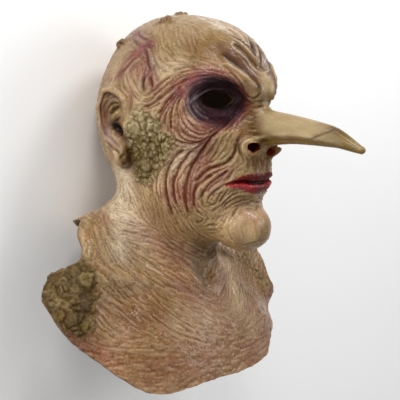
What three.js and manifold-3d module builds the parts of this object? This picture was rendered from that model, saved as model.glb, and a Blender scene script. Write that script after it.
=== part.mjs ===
// Latex witch mask: a hollow head with a long drooping nose, neck and shoulder bib,
// cast as one thin shell and lying on its back.
// Millimetres. The modelling frame is the worn one (x to the mask's right, y forward,
// z up, z = 0 at the jaw angle); the last group lays it down with +Z up.
import * as THREE from 'three';
import Module from 'manifold-3d';

// ---------------------------------------------------------------- driving sizes
const WALL = 2.5;                 // latex thickness
const REST_Y = -113;              // plane of the small flats it lies on
const CROWN_Z = 215;              // top of the head
const SKULL = { c: [0, -3.5, CROWN_Z - 103], r: [86, 112, 103] };
const OCCIPUT = { c: [0, -22, 80], r: [74, 80, 66] };
const FOREHEAD = { c: [0, 44.5, 136], r: [62, 58, 60] };
const FACE = { c: [0, 36, 42], r: [68, 64, 86] };
const MUZZLE = { c: [0, 69, 40], r: [39, 37, 40] };
const CHIN = { c: [0, 85, -24.5], r: [34, 28, 25] };
const CHIN_TIP = { c: [0, 87, -35], r: [28, 21, 13.5] };
const CHEEKBONE = { c: [50, 58, 84], r: [19, 22, 15] };
const JAW = { a: [20, 64, -16], b: [50, 14, 12], ra: 16, rb: 15 };
const BROW = { a: [12, 102, 131], b: [52, 70, 143], ra: 14, rb: 10 };
const BROW_KNOT = { a: [12.5, 105, 125.5], b: [22, 100.5, 139], ra: 8.5, rb: 7 };
const SOCKET = { c: [38, 90, 116], r: [27, 28, 19] };
const EYELID = { c: [25, 46, 117], r: [30, 30, 22] };
const NECK = { a: [0, -25, 70], b: [0, -32, -110], ra: 55, rb: 57 };
const CHEST = { c: [0, -42, -240], r: [205, 118, 178] };
const BACK = { c: [0, -60, -112], r: [150, 56.5, 96] };
const NAPE_SLOPE = { a: [0, -70, -22], b: [128, -58, -49], ra: 25, rb: 27 };
const SHOULDER = { a: [118, -48, -70], b: [186, -42, -120], ra: 33, rb: 40 };
const COLLAR = [[14, 27, -92, 7], [54, 12, -88, 7], [102, -8, -82, 7], [150, -17, -73, 7.5]];
// nose stations: [forward y, centre height z, radius]
const NOSE = [
  [70, 90, 30], [100, 88.5, 24], [124, 87.6, 19.2], [148, 86.8, 16.2], [172, 84.4, 14.1],
  [197, 81, 11.9], [206, 79.3, 10.7], [214, 76.5, 9.3], [226, 71.5, 6.7], [235.6, 67.4, 4.3],
];
const NOSE_FLAT = 0.78;           // width over height of the nose at its root
const ALA = { c: [20, 109, 65.6], r: [9, 12, 9.5] };
const NOSTRILS = [{ c: [15, 106, 66], r: [6.5, 8, 6.5] }, { c: [21.5, 113, 67], r: [7.5, 7.5, 5.2] }];
const NOSTRIL_LEFT = { c: [13, 110, 61], r: [5, 6, 5] };   // the left one opens lower
const LIP_HALF = 43;              // half width of the mouth
const LIP_UP = [5.2, 3.4, 2.9];   // rise over the seam, spread, fullness
const LIP_LOW = [6.2, 4.2, 3.9];  // drop below the seam, spread, fullness
const SEAM = [26.6, 1.6, 3.2];    // height, spread, depth
const EYE_HOLE = { at: [36, 75.5, 118.5], turn: 34, half: 20.8, high: 9.6 };
// ear: rim path, plate, bowl, lobe, flap in front of the bowl
const EAR_RIM = [[86, -12, 100, 3.9], [88, -17, 120, 3.9], [90, -29, 129, 3.9], [91.5, -41, 126, 3.9],
  [92.5, -48.5, 110, 3.9], [91, -47, 90, 3.9], [88.5, -39, 68, 3.9]];
const EAR_PLATE = { c: [84, -31, 92], r: [8, 17, 36] };
const EAR_BOWL = { c: [94, -27, 99], r: [9, 11, 23] };
const EAR_LOBE = { c: [86, -24, 56], r: [6.5, 9, 13] };
const EAR_FLAP = { c: [87, -13, 86], r: [5, 5, 9] };
// trimmed edge of the bib as seen from the front: [|x|, z] down one side
const EDGE_RIGHT = [[0, -196], [52, -196], [91, -201], [115, -199], [128, -194], [140, -185],
  [150, -176], [166, -155], [190, -134], [204, -117], [209, -100], [205, -87], [196, -78],
  [166, -63], [151, -54], [145, -43], [141, -30], [131, -20], [126, -8], [118, 30], [118, 300]];
const EDGE_LEFT = [[52, -194], [77, -191], [90, -185], [104, -176], [122, -169], [148, -162],
  [175, -150], [189, -138], [185, -128], [177, -117], [172, -106], [170, -93], [166, -81],
  [158, -69], [149, -58], [142, -46], [137, -29], [131, -20], [126, -8], [118, 30], [118, 300]];
const EDGE_BACK = [[0, -94], [30, -92], [46, -80], [54, -60], [64, -43], [80, -32], [97, -25],
  [110, -19], [120, -10], [118, 30], [118, 300]];
const RIDGE_Y = -52;              // front and back edges meet on this plane
// the skin that hangs over the end of the right shoulder is cut away below this line (x, y)
const SHOULDER_CUT = [[150, -75], [166, -52], [176, -48.5], [188, -42], [199, -35], [212, -27], [240, -20]];

const SKIN_TRIANGLES = 6000, HOLLOW_TRIANGLES = 2700, EAR_TRIANGLES = 460;

// ---------------------------------------------------------------- distance fields
const smin = (a, b, k) => {
  const h = Math.max(k - Math.abs(a - b), 0) / k;
  return Math.min(a, b) - h * h * k * 0.25;
};
const smax = (a, b, k) => -smin(-a, -b, k);
const ell = (x, y, z, e) => {
  const X = x - e.c[0], Y = y - e.c[1], Z = z - e.c[2], r = e.r;
  const k0 = Math.hypot(X / r[0], Y / r[1], Z / r[2]);
  const k1 = Math.hypot(X / r[0] ** 2, Y / r[1] ** 2, Z / r[2] ** 2);
  return (k0 * (k0 - 1)) / Math.max(k1, 1e-6);
};
const cap = (x, y, z, s) => {
  const d = [0, 1, 2].map((i) => s.b[i] - s.a[i]);
  const p = [x - s.a[0], y - s.a[1], z - s.a[2]];
  const t = Math.min(1, Math.max(0, (p[0] * d[0] + p[1] * d[1] + p[2] * d[2])
    / (d[0] ** 2 + d[1] ** 2 + d[2] ** 2)));
  return Math.hypot(p[0] - t * d[0], p[1] - t * d[1], p[2] - t * d[2]) - (s.ra + (s.rb - s.ra) * t);
};
// tapered bars from point to point: each point is [x, y, z, radius]
const chain = (x, y, z, pts) => {
  let f = Infinity;
  for (let i = 0; i + 1 < pts.length; i++) {
    const g = cap(x, y, z, { a: pts[i], b: pts[i + 1], ra: pts[i][3], rb: pts[i + 1][3] });
    f = i ? smin(f, g, 5) : g;
  }
  return f;
};
const bump = (x, y, z, c, s) =>
  Math.exp(-(((x - c[0]) / s[0]) ** 2) - ((y - c[1]) / s[1]) ** 2 - ((z - c[2]) / s[2]) ** 2);
const step = (a, b, t) => {
  const u = Math.min(1, Math.max(0, (t - a) / (b - a)));
  return u * u * (3 - 2 * u);
};
// smooth monotone interpolation of a station table
function curve(table, col) {
  const n = table.length, X = table.map((s) => s[0]), V = table.map((s) => s[col]);
  const d = [], m = [];
  for (let i = 0; i < n - 1; i++) d.push((V[i + 1] - V[i]) / (X[i + 1] - X[i]));
  for (let i = 0; i < n; i++) {
    if (i === 0 || i === n - 1) m.push(d[i === 0 ? 0 : n - 2]);
    else m.push(d[i - 1] * d[i] <= 0 ? 0 : (2 * d[i - 1] * d[i]) / (d[i - 1] + d[i]));
  }
  return (x) => {
    let i = 0;
    while (i < n - 2 && x > X[i + 1]) i++;
    const h = X[i + 1] - X[i], t = Math.min(1, Math.max(0, (x - X[i]) / h));
    const t2 = t * t, t3 = t2 * t;
    return (2 * t3 - 3 * t2 + 1) * V[i] + (t3 - 2 * t2 + t) * h * m[i]
      + (3 * t2 - 2 * t3) * V[i + 1] + (t3 - t2) * h * m[i + 1];
  };
}
const noseZ = curve(NOSE, 1), noseR = curve(NOSE, 2);

function body(x, y, z) {
  const ax = Math.abs(x);
  let t = smin(ell(x, y, z, CHEST), ell(x, y, z, BACK), 40);
  t = smin(t, cap(ax, y, z, SHOULDER), 40);
  t = smin(t, cap(ax, y, z, NAPE_SLOPE), 34);
  let f = smin(cap(x, y, z, NECK), t, 30);
  f = smin(f, chain(ax, y, z, COLLAR), 14);
  f -= 3.2 * bump(ax, y, z, [27, 22, -60], [9, 22, 34]);      // neck tendons
  f += 5.0 * bump(x, y, z, [0, 34, -86], [13, 18, 18]);       // hollow between the collar bones
  return f;
}
function skull(x, y, z) {
  const ax = Math.abs(x);
  let f = smin(ell(x, y, z, SKULL), ell(x, y, z, OCCIPUT), 20);
  f = smin(f, ell(x, y, z, FOREHEAD), 24);
  f = smin(f, ell(x, y, z, FACE), 30);
  f = smin(f, cap(ax, y, z, JAW), 24);
  return f + 3.6 * bump(ax, y, z, [50, -88, 150], [38, 34, 38]);   // flatter behind the crown
}
function face(x, y, z, f) {
  const ax = Math.abs(x);
  f = smin(f, ell(x, y, z, MUZZLE), 24);
  f = smin(f, ell(x, y, z, CHIN), 15);
  f = smin(f, ell(x, y, z, CHIN_TIP), 10);
  f = smin(f, cap(ax, y, z, BROW), 16);
  f = smin(f, ell(ax, y, z, CHEEKBONE), 22);
  f = smax(f, -ell(ax, y, z, SOCKET), 20);
  f = smin(f, ell(ax, y, z, EYELID), 12);
  f = smin(f, cap(ax, y, z, BROW_KNOT), 10);
  f += 5.5 * bump(ax, y, z, [74, 40, 140], [26, 28, 24]);     // temples
  f += 4.0 * bump(ax, y, z, [58, 62, 48], [28, 28, 30]);      // cheeks
  f += 3.8 * bump(x, y, z, [0, 103, 3], [26, 14, 8]);         // groove over the chin
  return f;
}
function nose(x, y, z) {
  const yc = Math.min(NOSE[NOSE.length - 1][0], Math.max(NOSE[0][0], y));
  const sx = NOSE_FLAT + (1 - NOSE_FLAT) * step(200, 232, yc);
  const f = (Math.hypot(x / sx, z - noseZ(yc), y - yc) - noseR(yc)) * 0.86;
  return smin(f, ell(Math.abs(x), y, z, ALA), 7);
}
function lips(x, y, z, f) {
  const ax = Math.abs(x), near = Math.exp(-(((y - 98) / 26) ** 2));
  const w = Math.max(0, 1 - (ax / LIP_HALF) ** 2);
  const mid = SEAM[0] + 2.6 * Math.exp(-(((ax - 28) / 11) ** 2)) - 1.3 * (1 - w);
  const rise = LIP_UP[0] * w + 1.3 * Math.exp(-(((ax - 14) / 9) ** 2));
  const up = Math.exp(-(((z - mid - 1 - rise) / (1.6 + LIP_UP[1] * w)) ** 2)) * w ** 0.5 * LIP_UP[2]
    * (1 - 0.25 * Math.exp(-((ax / 4) ** 2)));
  const low = Math.exp(-(((z - mid + 1.2 + LIP_LOW[0] * w) / (1.6 + LIP_LOW[1] * w)) ** 2)) * w ** 0.5 * LIP_LOW[2];
  const seam = Math.exp(-(((z - mid) / SEAM[1]) ** 2)) * Math.max(0, 1 - (ax / LIP_HALF) ** 6) * SEAM[2];
  return f - (up + low - seam) * near;
}
const mould = (x, y, z) => smin(face(x, y, z, smin(skull(x, y, z), body(x, y, z), 30)), nose(x, y, z), 12);
const outside = (x, y, z) => lips(x, y, z, mould(x, y, z));
const inside = (x, y, z) => smax(mould(x, y, z), -(y - REST_Y), 4) + WALL;
function ear(x, y, z) {
  const rim = chain(x, y, z, EAR_RIM);
  const plate = smax(ell(x, y, z, EAR_PLATE), -ell(x, y, z, EAR_BOWL), 5);
  return smin(smin(plate, rim, 5), smin(ell(x, y, z, EAR_LOBE), ell(x, y, z, EAR_FLAP), 3), 5);
}

// ---------------------------------------------------------------- meshing a field
// grid lines from spans [from, to, spacing]
function lines(spans) {
  const out = [];
  for (const [a, b, s] of spans) {
    const n = Math.max(1, Math.round((b - a) / s));
    for (let i = 0; i < n; i++) out.push(a + ((b - a) * i) / n);
  }
  out.push(spans[spans.length - 1][1]);
  return out;
}
const mirrored = (v) => [...v.filter((a) => a > 0).map((a) => -a).reverse(), 0, ...v.filter((a) => a > 0)];

// one vertex for each cell that the surface crosses, drawn onto the surface
function netMesh(f, xs, ys, zs) {
  const nx = xs.length, ny = ys.length, nz = zs.length;
  const at = (i, j, k) => (k * ny + j) * nx + i;
  const val = new Float64Array(nx * ny * nz);
  for (let k = 0; k < nz; k++)
    for (let j = 0; j < ny; j++)
      for (let i = 0; i < nx; i++) val[at(i, j, k)] = f(xs[i], ys[j], zs[k]);
  const cell = new Int32Array(nx * ny * nz).fill(-1), pos = [], tri = [];
  const edges = [];
  for (let a = 0; a < 8; a++) for (const b of [1, 2, 4]) if (!(a & b)) edges.push([a, a | b]);
  for (let k = 0; k + 1 < nz; k++)
    for (let j = 0; j + 1 < ny; j++)
      for (let i = 0; i + 1 < nx; i++) {
        const v = [];
        for (let c = 0; c < 8; c++) v.push(val[at(i + (c & 1), j + ((c >> 1) & 1), k + (c >> 2))]);
        const inside = v.filter((q) => q < 0).length;
        if (!inside || inside === 8) continue;
        let p = [0, 0, 0], n = 0;
        for (const [a, b] of edges) {
          if ((v[a] < 0) === (v[b] < 0)) continue;
          const t = v[a] / (v[a] - v[b]);
          const q = (c) => [xs[i + (c & 1)], ys[j + ((c >> 1) & 1)], zs[k + (c >> 2)]];
          const A = q(a), B = q(b);
          for (let m = 0; m < 3; m++) p[m] += A[m] + (B[m] - A[m]) * t;
          n++;
        }
        p = p.map((q) => q / n);
        const lo = [xs[i], ys[j], zs[k]], hi = [xs[i + 1], ys[j + 1], zs[k + 1]];
        for (let it = 0; it < 4; it++) {
          const e = 0.25, v0 = f(...p);
          const g = [0, 1, 2].map((m) => {
            const q = [...p]; q[m] += e;
            return (f(...q) - v0) / e;
          });
          const gg = Math.max(0.25, g[0] ** 2 + g[1] ** 2 + g[2] ** 2);
          p = p.map((q, m) => Math.min(hi[m], Math.max(lo[m], q - (0.9 * v0 * g[m]) / gg)));
        }
        cell[at(i, j, k)] = pos.length / 3;
        pos.push(...p);
      }
  const quad = (a, b, c, d, flip) => {
    const P = (m) => pos.slice(3 * m, 3 * m + 3);
    const len = (m, n) => Math.hypot(...P(m).map((q, s) => q - P(n)[s]));
    const q = flip ? [a, d, c, b] : [a, b, c, d];
    if (len(q[0], q[2]) <= len(q[1], q[3])) tri.push(q[0], q[1], q[2], q[0], q[2], q[3]);
    else tri.push(q[1], q[2], q[3], q[1], q[3], q[0]);
  };
  for (let k = 1; k + 1 < nz; k++)
    for (let j = 1; j + 1 < ny; j++)
      for (let i = 1; i + 1 < nx; i++) {
        const s = val[at(i, j, k)] < 0;
        if (s !== val[at(i + 1, j, k)] < 0)
          quad(cell[at(i, j - 1, k - 1)], cell[at(i, j, k - 1)], cell[at(i, j, k)], cell[at(i, j - 1, k)], !s);
        if (s !== val[at(i, j + 1, k)] < 0)
          quad(cell[at(i - 1, j, k - 1)], cell[at(i - 1, j, k)], cell[at(i, j, k)], cell[at(i, j, k - 1)], !s);
        if (s !== val[at(i, j, k + 1)] < 0)
          quad(cell[at(i - 1, j - 1, k)], cell[at(i, j - 1, k)], cell[at(i, j, k)], cell[at(i - 1, j, k)], !s);
      }
  return { pos, tri };
}

// fewer triangles: collapse the edges that matter least to the form, keeping every
// vertex on the field's surface
function thin({ pos, tri }, f, target) {
  const P = [], Q = [], nv = pos.length / 3;
  for (let i = 0; i < nv; i++) { P.push(pos.slice(3 * i, 3 * i + 3)); Q.push(new Float64Array(10)); }
  const F = [], of = P.map(() => new Set());
  const cross = (a, b, c) => {
    const u = [b[0] - a[0], b[1] - a[1], b[2] - a[2]], v = [c[0] - a[0], c[1] - a[1], c[2] - a[2]];
    return [u[1] * v[2] - u[2] * v[1], u[2] * v[0] - u[0] * v[2], u[0] * v[1] - u[1] * v[0]];
  };
  for (let i = 0; i < tri.length; i += 3) {
    const t = [tri[i], tri[i + 1], tri[i + 2]], n = cross(P[t[0]], P[t[1]], P[t[2]]);
    const l = Math.hypot(...n) || 1e-9, w = l * 0.5, m = n.map((q) => q / l);
    const d = -(m[0] * P[t[0]][0] + m[1] * P[t[0]][1] + m[2] * P[t[0]][2]);
    const k = [m[0] * m[0], m[0] * m[1], m[0] * m[2], m[0] * d, m[1] * m[1], m[1] * m[2], m[1] * d,
      m[2] * m[2], m[2] * d, d * d];
    for (const v of t) { of[v].add(F.length); for (let q = 0; q < 10; q++) Q[v][q] += k[q] * w; }
    F.push(t);
  }
  const err = (a, b, p) => {
    const q = Q[a].map((v, i) => v + Q[b][i]), [x, y, z] = p;
    return q[0] * x * x + 2 * q[1] * x * y + 2 * q[2] * x * z + 2 * q[3] * x + q[4] * y * y
      + 2 * q[5] * y * z + 2 * q[6] * y + q[7] * z * z + 2 * q[8] * z + q[9];
  };
  const onto = (p) => {
    const e = 0.25, v = f(...p);
    const g = [0, 1, 2].map((m) => { const q = [...p]; q[m] += e; return (f(...q) - v) / e; });
    const gg = g[0] ** 2 + g[1] ** 2 + g[2] ** 2;
    return gg < 0.05 ? p : p.map((q, m) => q - (v * g[m]) / gg);
  };
  const heap = [], age = new Int32Array(nv);
  const push = (o) => {
    heap.push(o);
    for (let i = heap.length - 1; i > 0;) {
      const u = (i - 1) >> 1;
      if (heap[u].c <= heap[i].c) break;
      [heap[u], heap[i]] = [heap[i], heap[u]]; i = u;
    }
  };
  const pop = () => {
    const top = heap[0], last = heap.pop();
    if (heap.length) {
      heap[0] = last;
      for (let i = 0; ;) {
        let m = i;
        for (const c of [2 * i + 1, 2 * i + 2]) if (c < heap.length && heap[c].c < heap[m].c) m = c;
        if (m === i) break;
        [heap[m], heap[i]] = [heap[i], heap[m]]; i = m;
      }
    }
    return top;
  };
  const offer = (a, b) => {
    const mid = onto(P[a].map((v, i) => (v + P[b][i]) / 2));
    let best = null;
    for (const p of [mid, P[a], P[b]]) {
      const c = err(a, b, p) + 1e-4 * Math.hypot(...P[a].map((v, i) => v - P[b][i])) ** 2;
      if (!best || c < best.c) best = { c, p };
    }
    push({ c: best.c, p: best.p, a, b, sa: age[a], sb: age[b] });
  };
  const ring = (v) => { const r = new Set(); for (const t of of[v]) for (const u of F[t]) if (u !== v) r.add(u); return r; };
  for (let v = 0; v < nv; v++) for (const u of ring(v)) if (v < u) offer(v, u);
  let left = F.length;
  while (left > target && heap.length) {
    const e = pop(), { a, b, p } = e;
    if (age[a] !== e.sa || age[b] !== e.sb || !of[a].size || !of[b].size) continue;
    const ra = ring(a), rb = ring(b), both = [...ra].filter((v) => rb.has(v));
    if (both.length !== 2 || !ra.has(b)) continue;
    let ok = true;
    for (const [v, w] of [[a, b], [b, a]])
      for (const t of of[v]) {
        if (F[t].includes(w)) continue;
        const old = cross(...F[t].map((u) => P[u])), now = cross(...F[t].map((u) => (u === v ? p : P[u])));
        const d = old[0] * now[0] + old[1] * now[1] + old[2] * now[2];
        if (d < 0.3 * Math.hypot(...old) * Math.hypot(...now)) ok = false;
      }
    if (!ok) continue;
    for (const t of [...of[b]]) {
      if (F[t].includes(a)) { for (const u of F[t]) of[u].delete(t); F[t] = null; left--; continue; }
      F[t] = F[t].map((u) => (u === b ? a : u)); of[a].add(t); of[b].delete(t);
    }
    P[a] = p;
    for (let q = 0; q < 10; q++) Q[a][q] += Q[b][q];
    age[a]++; age[b]++;
    for (const u of ring(a)) offer(a, u);
  }
  const id = new Map(), np = [], nt = [];
  for (const t of F) {
    if (!t) continue;
    for (const u of t) {
      if (!id.has(u)) { id.set(u, np.length / 3); np.push(...P[u]); }
      nt.push(id.get(u));
    }
  }
  return { pos: np, tri: nt };
}

// ---------------------------------------------------------------- solids
const wasm = await Module();
wasm.setup();
function solid({ pos, tri }) {
  return new wasm.Manifold(new wasm.Mesh({
    numProp: 3, vertProperties: new Float32Array(pos), triVerts: new Uint32Array(tri),
  }));
}
// a prism from an outline, run along a direction: points are o + u*a + v*b, extruded n*(h0..h1)
function prism(outline, o, u, v, n, h0, h1) {
  const pts = outline.map((p) => new THREE.Vector2(...p));
  if (THREE.ShapeUtils.area(pts) < 0) pts.reverse();
  const caps = THREE.ShapeUtils.triangulateShape(pts, []);
  const pos = [], tri = [], m = pts.length;
  for (const h of [h0, h1])
    for (const p of pts) for (let c = 0; c < 3; c++) pos.push(o[c] + u[c] * p.x + v[c] * p.y + n[c] * h);
  for (const [a, b, c] of caps) tri.push(a, c, b, a + m, b + m, c + m);
  for (let i = 0; i < m; i++) {
    const j = (i + 1) % m;
    tri.push(i, j, j + m, i, j + m, i + m);
  }
  const w = new THREE.Vector3(...u).cross(new THREE.Vector3(...v)).dot(new THREE.Vector3(...n));
  if (w < 0) for (let i = 0; i < tri.length; i += 3) [tri[i + 1], tri[i + 2]] = [tri[i + 2], tri[i + 1]];
  return solid({ pos, tri });
}
function ball(e, seg, rows, side) {
  const pos = [side * e.c[0], e.c[1], e.c[2] + e.r[2]], tri = [];
  for (let j = 1; j < rows; j++)
    for (let i = 0; i < seg; i++) {
      const p = (Math.PI * j) / rows, t = (2 * Math.PI * i) / seg;
      pos.push(side * e.c[0] + e.r[0] * Math.sin(p) * Math.cos(t),
        e.c[1] + e.r[1] * Math.sin(p) * Math.sin(t), e.c[2] + e.r[2] * Math.cos(p));
    }
  const last = pos.length / 3;
  pos.push(side * e.c[0], e.c[1], e.c[2] - e.r[2]);
  const id = (j, i) => 1 + (j - 1) * seg + (i % seg);
  for (let i = 0; i < seg; i++) {
    tri.push(0, id(1, i), id(1, i + 1));
    for (let j = 1; j + 1 < rows; j++)
      tri.push(id(j, i), id(j + 1, i), id(j + 1, i + 1), id(j, i), id(j + 1, i + 1), id(j, i + 1));
    tri.push(last, id(rows - 1, i + 1), id(rows - 1, i));
  }
  return solid({ pos, tri });
}

const FLOOR_Z = -216;             // the moulds are closed below the trimmed edge
const closed = (f, z0) => (x, y, z) => Math.max(f(x, y, z), z0 - z);
const field = closed(outside, FLOOR_Z), cavity = closed(inside, FLOOR_Z - 6);
const skin = solid(thin(netMesh(field,
  mirrored(lines([[0, 28, 4], [28, 84, 7], [84, 250, 13]])),
  lines([[-201, -126, 25], [-126, -50, 9], [-50, 58, 9], [58, 112, 4.5], [112, 205, 8], [205, 245, 4]]),
  lines([[-242, -116, 14], [-116, -36, 9], [-36, 60, 5], [60, 102, 4.5], [102, 150, 5], [150, 228, 10]])), field, SKIN_TRIANGLES));
const hollow = solid(thin(netMesh(cavity,
  mirrored(lines([[0, 28, 5], [28, 84, 8], [84, 250, 15]])),
  lines([[-126, -50, 10], [-50, 58, 10], [58, 112, 6], [112, 245, 8]]),
  lines([[-256, -116, 15], [-116, -36, 11], [-36, 60, 7], [60, 150, 6], [150, 228, 11]])), cavity, HOLLOW_TRIANGLES));
let shell = skin;
for (const side of [1, -1]) {
  const lobe = (x, y, z) => ear(side * x, y, z);
  const e = solid(thin(netMesh(lobe, side > 0 ? lines([[70, 104, 3.2]]) : lines([[-104, -70, 3.2]]),
    lines([[-60, 2, 3.2]]), lines([[36, 140, 3.6]])), lobe, EAR_TRIANGLES));
  shell = shell.add(e);
}
shell = shell.subtract(hollow);
for (const side of [1, -1]) {
  const t = (EYE_HOLE.turn * Math.PI) / 180;
  const n = [side * Math.sin(t), Math.cos(t), 0], u = [Math.cos(t), -side * Math.sin(t), 0];
  const almond = [];
  for (let i = 0; i < 16; i++) {
    const a = (2 * Math.PI * i) / 16;
    almond.push([EYE_HOLE.half * Math.cos(a), EYE_HOLE.high * Math.sin(a) * Math.abs(Math.sin(a)) ** 0.35]);
  }
  shell = shell.subtract(prism(almond, [side * EYE_HOLE.at[0], EYE_HOLE.at[1], EYE_HOLE.at[2]],
    u, [0, 0, 1], n, -22, 22));
  for (const n of side > 0 ? NOSTRILS : [...NOSTRILS, NOSTRIL_LEFT]) shell = shell.subtract(ball(n, 10, 6, side));
}
// what is left inside the trimmed outline and above the resting flats
const flip = (edge) => edge.map(([x, z]) => [-x, z]).reverse();
const round = (edge) => {
  const bend = new THREE.SplineCurve(edge.slice(0, -1).map((p) => new THREE.Vector2(...p)));
  return [...bend.getPoints(3 * edge.length).map((p) => [p.x, p.y]), edge[edge.length - 1]];
};
const front = prism([...round(EDGE_RIGHT), ...flip(round(EDGE_LEFT))], [0, 0, 0], [1, 0, 0], [0, 0, 1], [0, 1, 0], RIDGE_Y, 300);
const back = prism([...round(EDGE_BACK), ...flip(round(EDGE_BACK).slice(1))], [0, 0, 0], [1, 0, 0], [0, 0, 1], [0, 1, 0], REST_Y, RIDGE_Y);
shell = shell.intersect(front.add(back));
shell = shell.subtract(prism([...SHOULDER_CUT, [240, -90], [150, -90]], [0, 0, 0], [1, 0, 0], [0, 1, 0], [0, 0, 1], -260, 40));
// trimming crumbs fall away: the mask is the one large piece
shell = shell.decompose().sort((a, b) => b.volume() - a.volume())[0];

// ---------------------------------------------------------------- scene graph
const out = shell.getMesh();
const geometry = new THREE.BufferGeometry();
geometry.setAttribute('position', new THREE.BufferAttribute(new Float32Array(out.vertProperties), 3));
geometry.setIndex(new THREE.BufferAttribute(new Uint32Array(out.triVerts), 1));
geometry.computeVertexNormals();
geometry.computeBoundingBox();
const mask = new THREE.Mesh(geometry, new THREE.MeshStandardMaterial({
  color: 0xb59a6b, roughness: 0.45, metalness: 0,
}));
mask.name = 'mask_shell';
const box = geometry.boundingBox;
mask.position.set(-(box.min.x + box.max.x) / 2, -REST_Y, -(box.min.z + box.max.z) / 2);
// lay it on its back: crown toward -X, the mask's right side toward -Y, face up
const laid = new THREE.Group();
laid.add(mask);
laid.quaternion.setFromRotationMatrix(new THREE.Matrix4().set(
  0, 0, -1, 0,
  -1, 0, 0, 0,
  0, 1, 0, 0,
  0, 0, 0, 1,
));
export default laid;
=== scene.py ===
import math
import time

import bpy
import numpy as np
from mathutils import Matrix, Vector


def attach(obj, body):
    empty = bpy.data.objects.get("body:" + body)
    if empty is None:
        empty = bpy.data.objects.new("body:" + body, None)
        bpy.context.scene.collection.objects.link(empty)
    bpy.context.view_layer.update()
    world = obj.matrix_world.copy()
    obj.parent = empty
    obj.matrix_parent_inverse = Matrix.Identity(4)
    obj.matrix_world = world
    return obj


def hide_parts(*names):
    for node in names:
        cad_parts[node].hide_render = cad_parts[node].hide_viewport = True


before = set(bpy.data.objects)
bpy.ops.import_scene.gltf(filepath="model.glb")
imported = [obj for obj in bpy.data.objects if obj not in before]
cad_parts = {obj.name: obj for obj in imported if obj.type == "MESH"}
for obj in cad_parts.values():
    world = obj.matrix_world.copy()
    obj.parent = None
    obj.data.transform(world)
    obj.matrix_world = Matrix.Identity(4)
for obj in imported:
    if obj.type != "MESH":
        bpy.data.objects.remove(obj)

T0 = time.time()
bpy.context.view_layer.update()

# Lengths are millimetres in the mask's own frame until the mesh is made:
# x to the mask's right, y forward, z up. The part lies on its back in the row frame.
OFF_X, OFF_Z, REST_Y = 9.794029, 6.874527, -113.0
WALL = 2.5
STEP = 1.35                     # grid step of the outer skin
TARGET = 192000                 # triangles of the finished piece


def to_row(p):
    p = np.asarray(p, float)
    return np.stack([-(p[..., 2] - OFF_Z), -(p[..., 0] - OFF_X), p[..., 1] - REST_Y], -1) / 1000.0


def turn_row(d):
    d = np.asarray(d, float)
    return np.stack([-d[..., 2], -d[..., 0], d[..., 1]], -1)


# ---------------------------------------------------------------- the form
def smin(a, b, k):
    h = np.maximum(k - np.abs(a - b), 0) / k
    return np.minimum(a, b) - h * h * k * 0.25


def smax(a, b, k):
    return -smin(-a, -b, k)


def ell(x, y, z, c, r):
    X, Y, Z = x - c[0], y - c[1], z - c[2]
    k0 = np.sqrt((X / r[0]) ** 2 + (Y / r[1]) ** 2 + (Z / r[2]) ** 2)
    k1 = np.sqrt((X / r[0] ** 2) ** 2 + (Y / r[1] ** 2) ** 2 + (Z / r[2] ** 2) ** 2)
    return k0 * (k0 - 1) / np.maximum(k1, 1e-6)


def cap(x, y, z, a, b, ra, rb):
    dx, dy, dz = b[0] - a[0], b[1] - a[1], b[2] - a[2]
    X, Y, Z = x - a[0], y - a[1], z - a[2]
    t = np.clip((X * dx + Y * dy + Z * dz) / (dx * dx + dy * dy + dz * dz), 0, 1)
    return np.sqrt((X - t * dx) ** 2 + (Y - t * dy) ** 2 + (Z - t * dz) ** 2) - (ra + (rb - ra) * t)


def ss(a, b, t):
    t = np.clip((t - a) / (b - a), 0, 1)
    return t * t * (3 - 2 * t)


def bump(x, y, z, c, s):
    return np.exp(-((x - c[0]) / s[0]) ** 2 - ((y - c[1]) / s[1]) ** 2 - ((z - c[2]) / s[2]) ** 2)


def chain(x, y, z, P, k):
    f = None
    for p, q in zip(P[:-1], P[1:]):
        g = cap(x, y, z, p[:3], q[:3], p[3], q[3])
        f = g if f is None else smin(f, g, k)
    return f


# nose stations: forward y, centre height z, radius, joined by a monotone cubic
NOSE = np.array([(70, 90, 30), (100, 88.5, 24), (124, 87.6, 19.2), (148, 86.8, 16.2), (172, 84.4, 14.1),
                 (197, 81, 11.9), (206, 79.3, 10.7), (214, 76.5, 9.3), (226, 71.5, 6.7), (235.6, 67.4, 4.3)], float)


def cubic(X, V, x):
    d = np.diff(V) / np.diff(X)
    m = np.empty(len(X))
    m[0], m[-1] = d[0], d[-1]
    for i in range(1, len(X) - 1):
        m[i] = 0 if d[i - 1] * d[i] <= 0 else 2 * d[i - 1] * d[i] / (d[i - 1] + d[i])
    i = np.clip(np.searchsorted(X, x) - 1, 0, len(X) - 2)
    h = X[i + 1] - X[i]
    t = np.clip((x - X[i]) / h, 0, 1)
    t2, t3 = t * t, t * t * t
    return ((2 * t3 - 3 * t2 + 1) * V[i] + (t3 - 2 * t2 + t) * h * m[i]
            + (3 * t2 - 2 * t3) * V[i + 1] + (t3 - t2) * h * m[i + 1])


NOSE_X = np.linspace(70, 235.6, 700)
NOSE_Z, NOSE_R = cubic(NOSE[:, 0], NOSE[:, 1], NOSE_X), cubic(NOSE[:, 0], NOSE[:, 2], NOSE_X)
COLLAR = [(14, 27, -92, 7), (54, 12, -88, 7), (102, -8, -82, 7), (150, -17, -73, 7.5)]
EAR_RIM = [(86, -12, 100, 3.9), (88, -17, 120, 3.9), (90, -29, 129, 3.9), (91.5, -41, 126, 3.9),
           (92.5, -48.5, 110, 3.9), (91, -47, 90, 3.9), (88.5, -39, 68, 3.9)]


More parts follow.
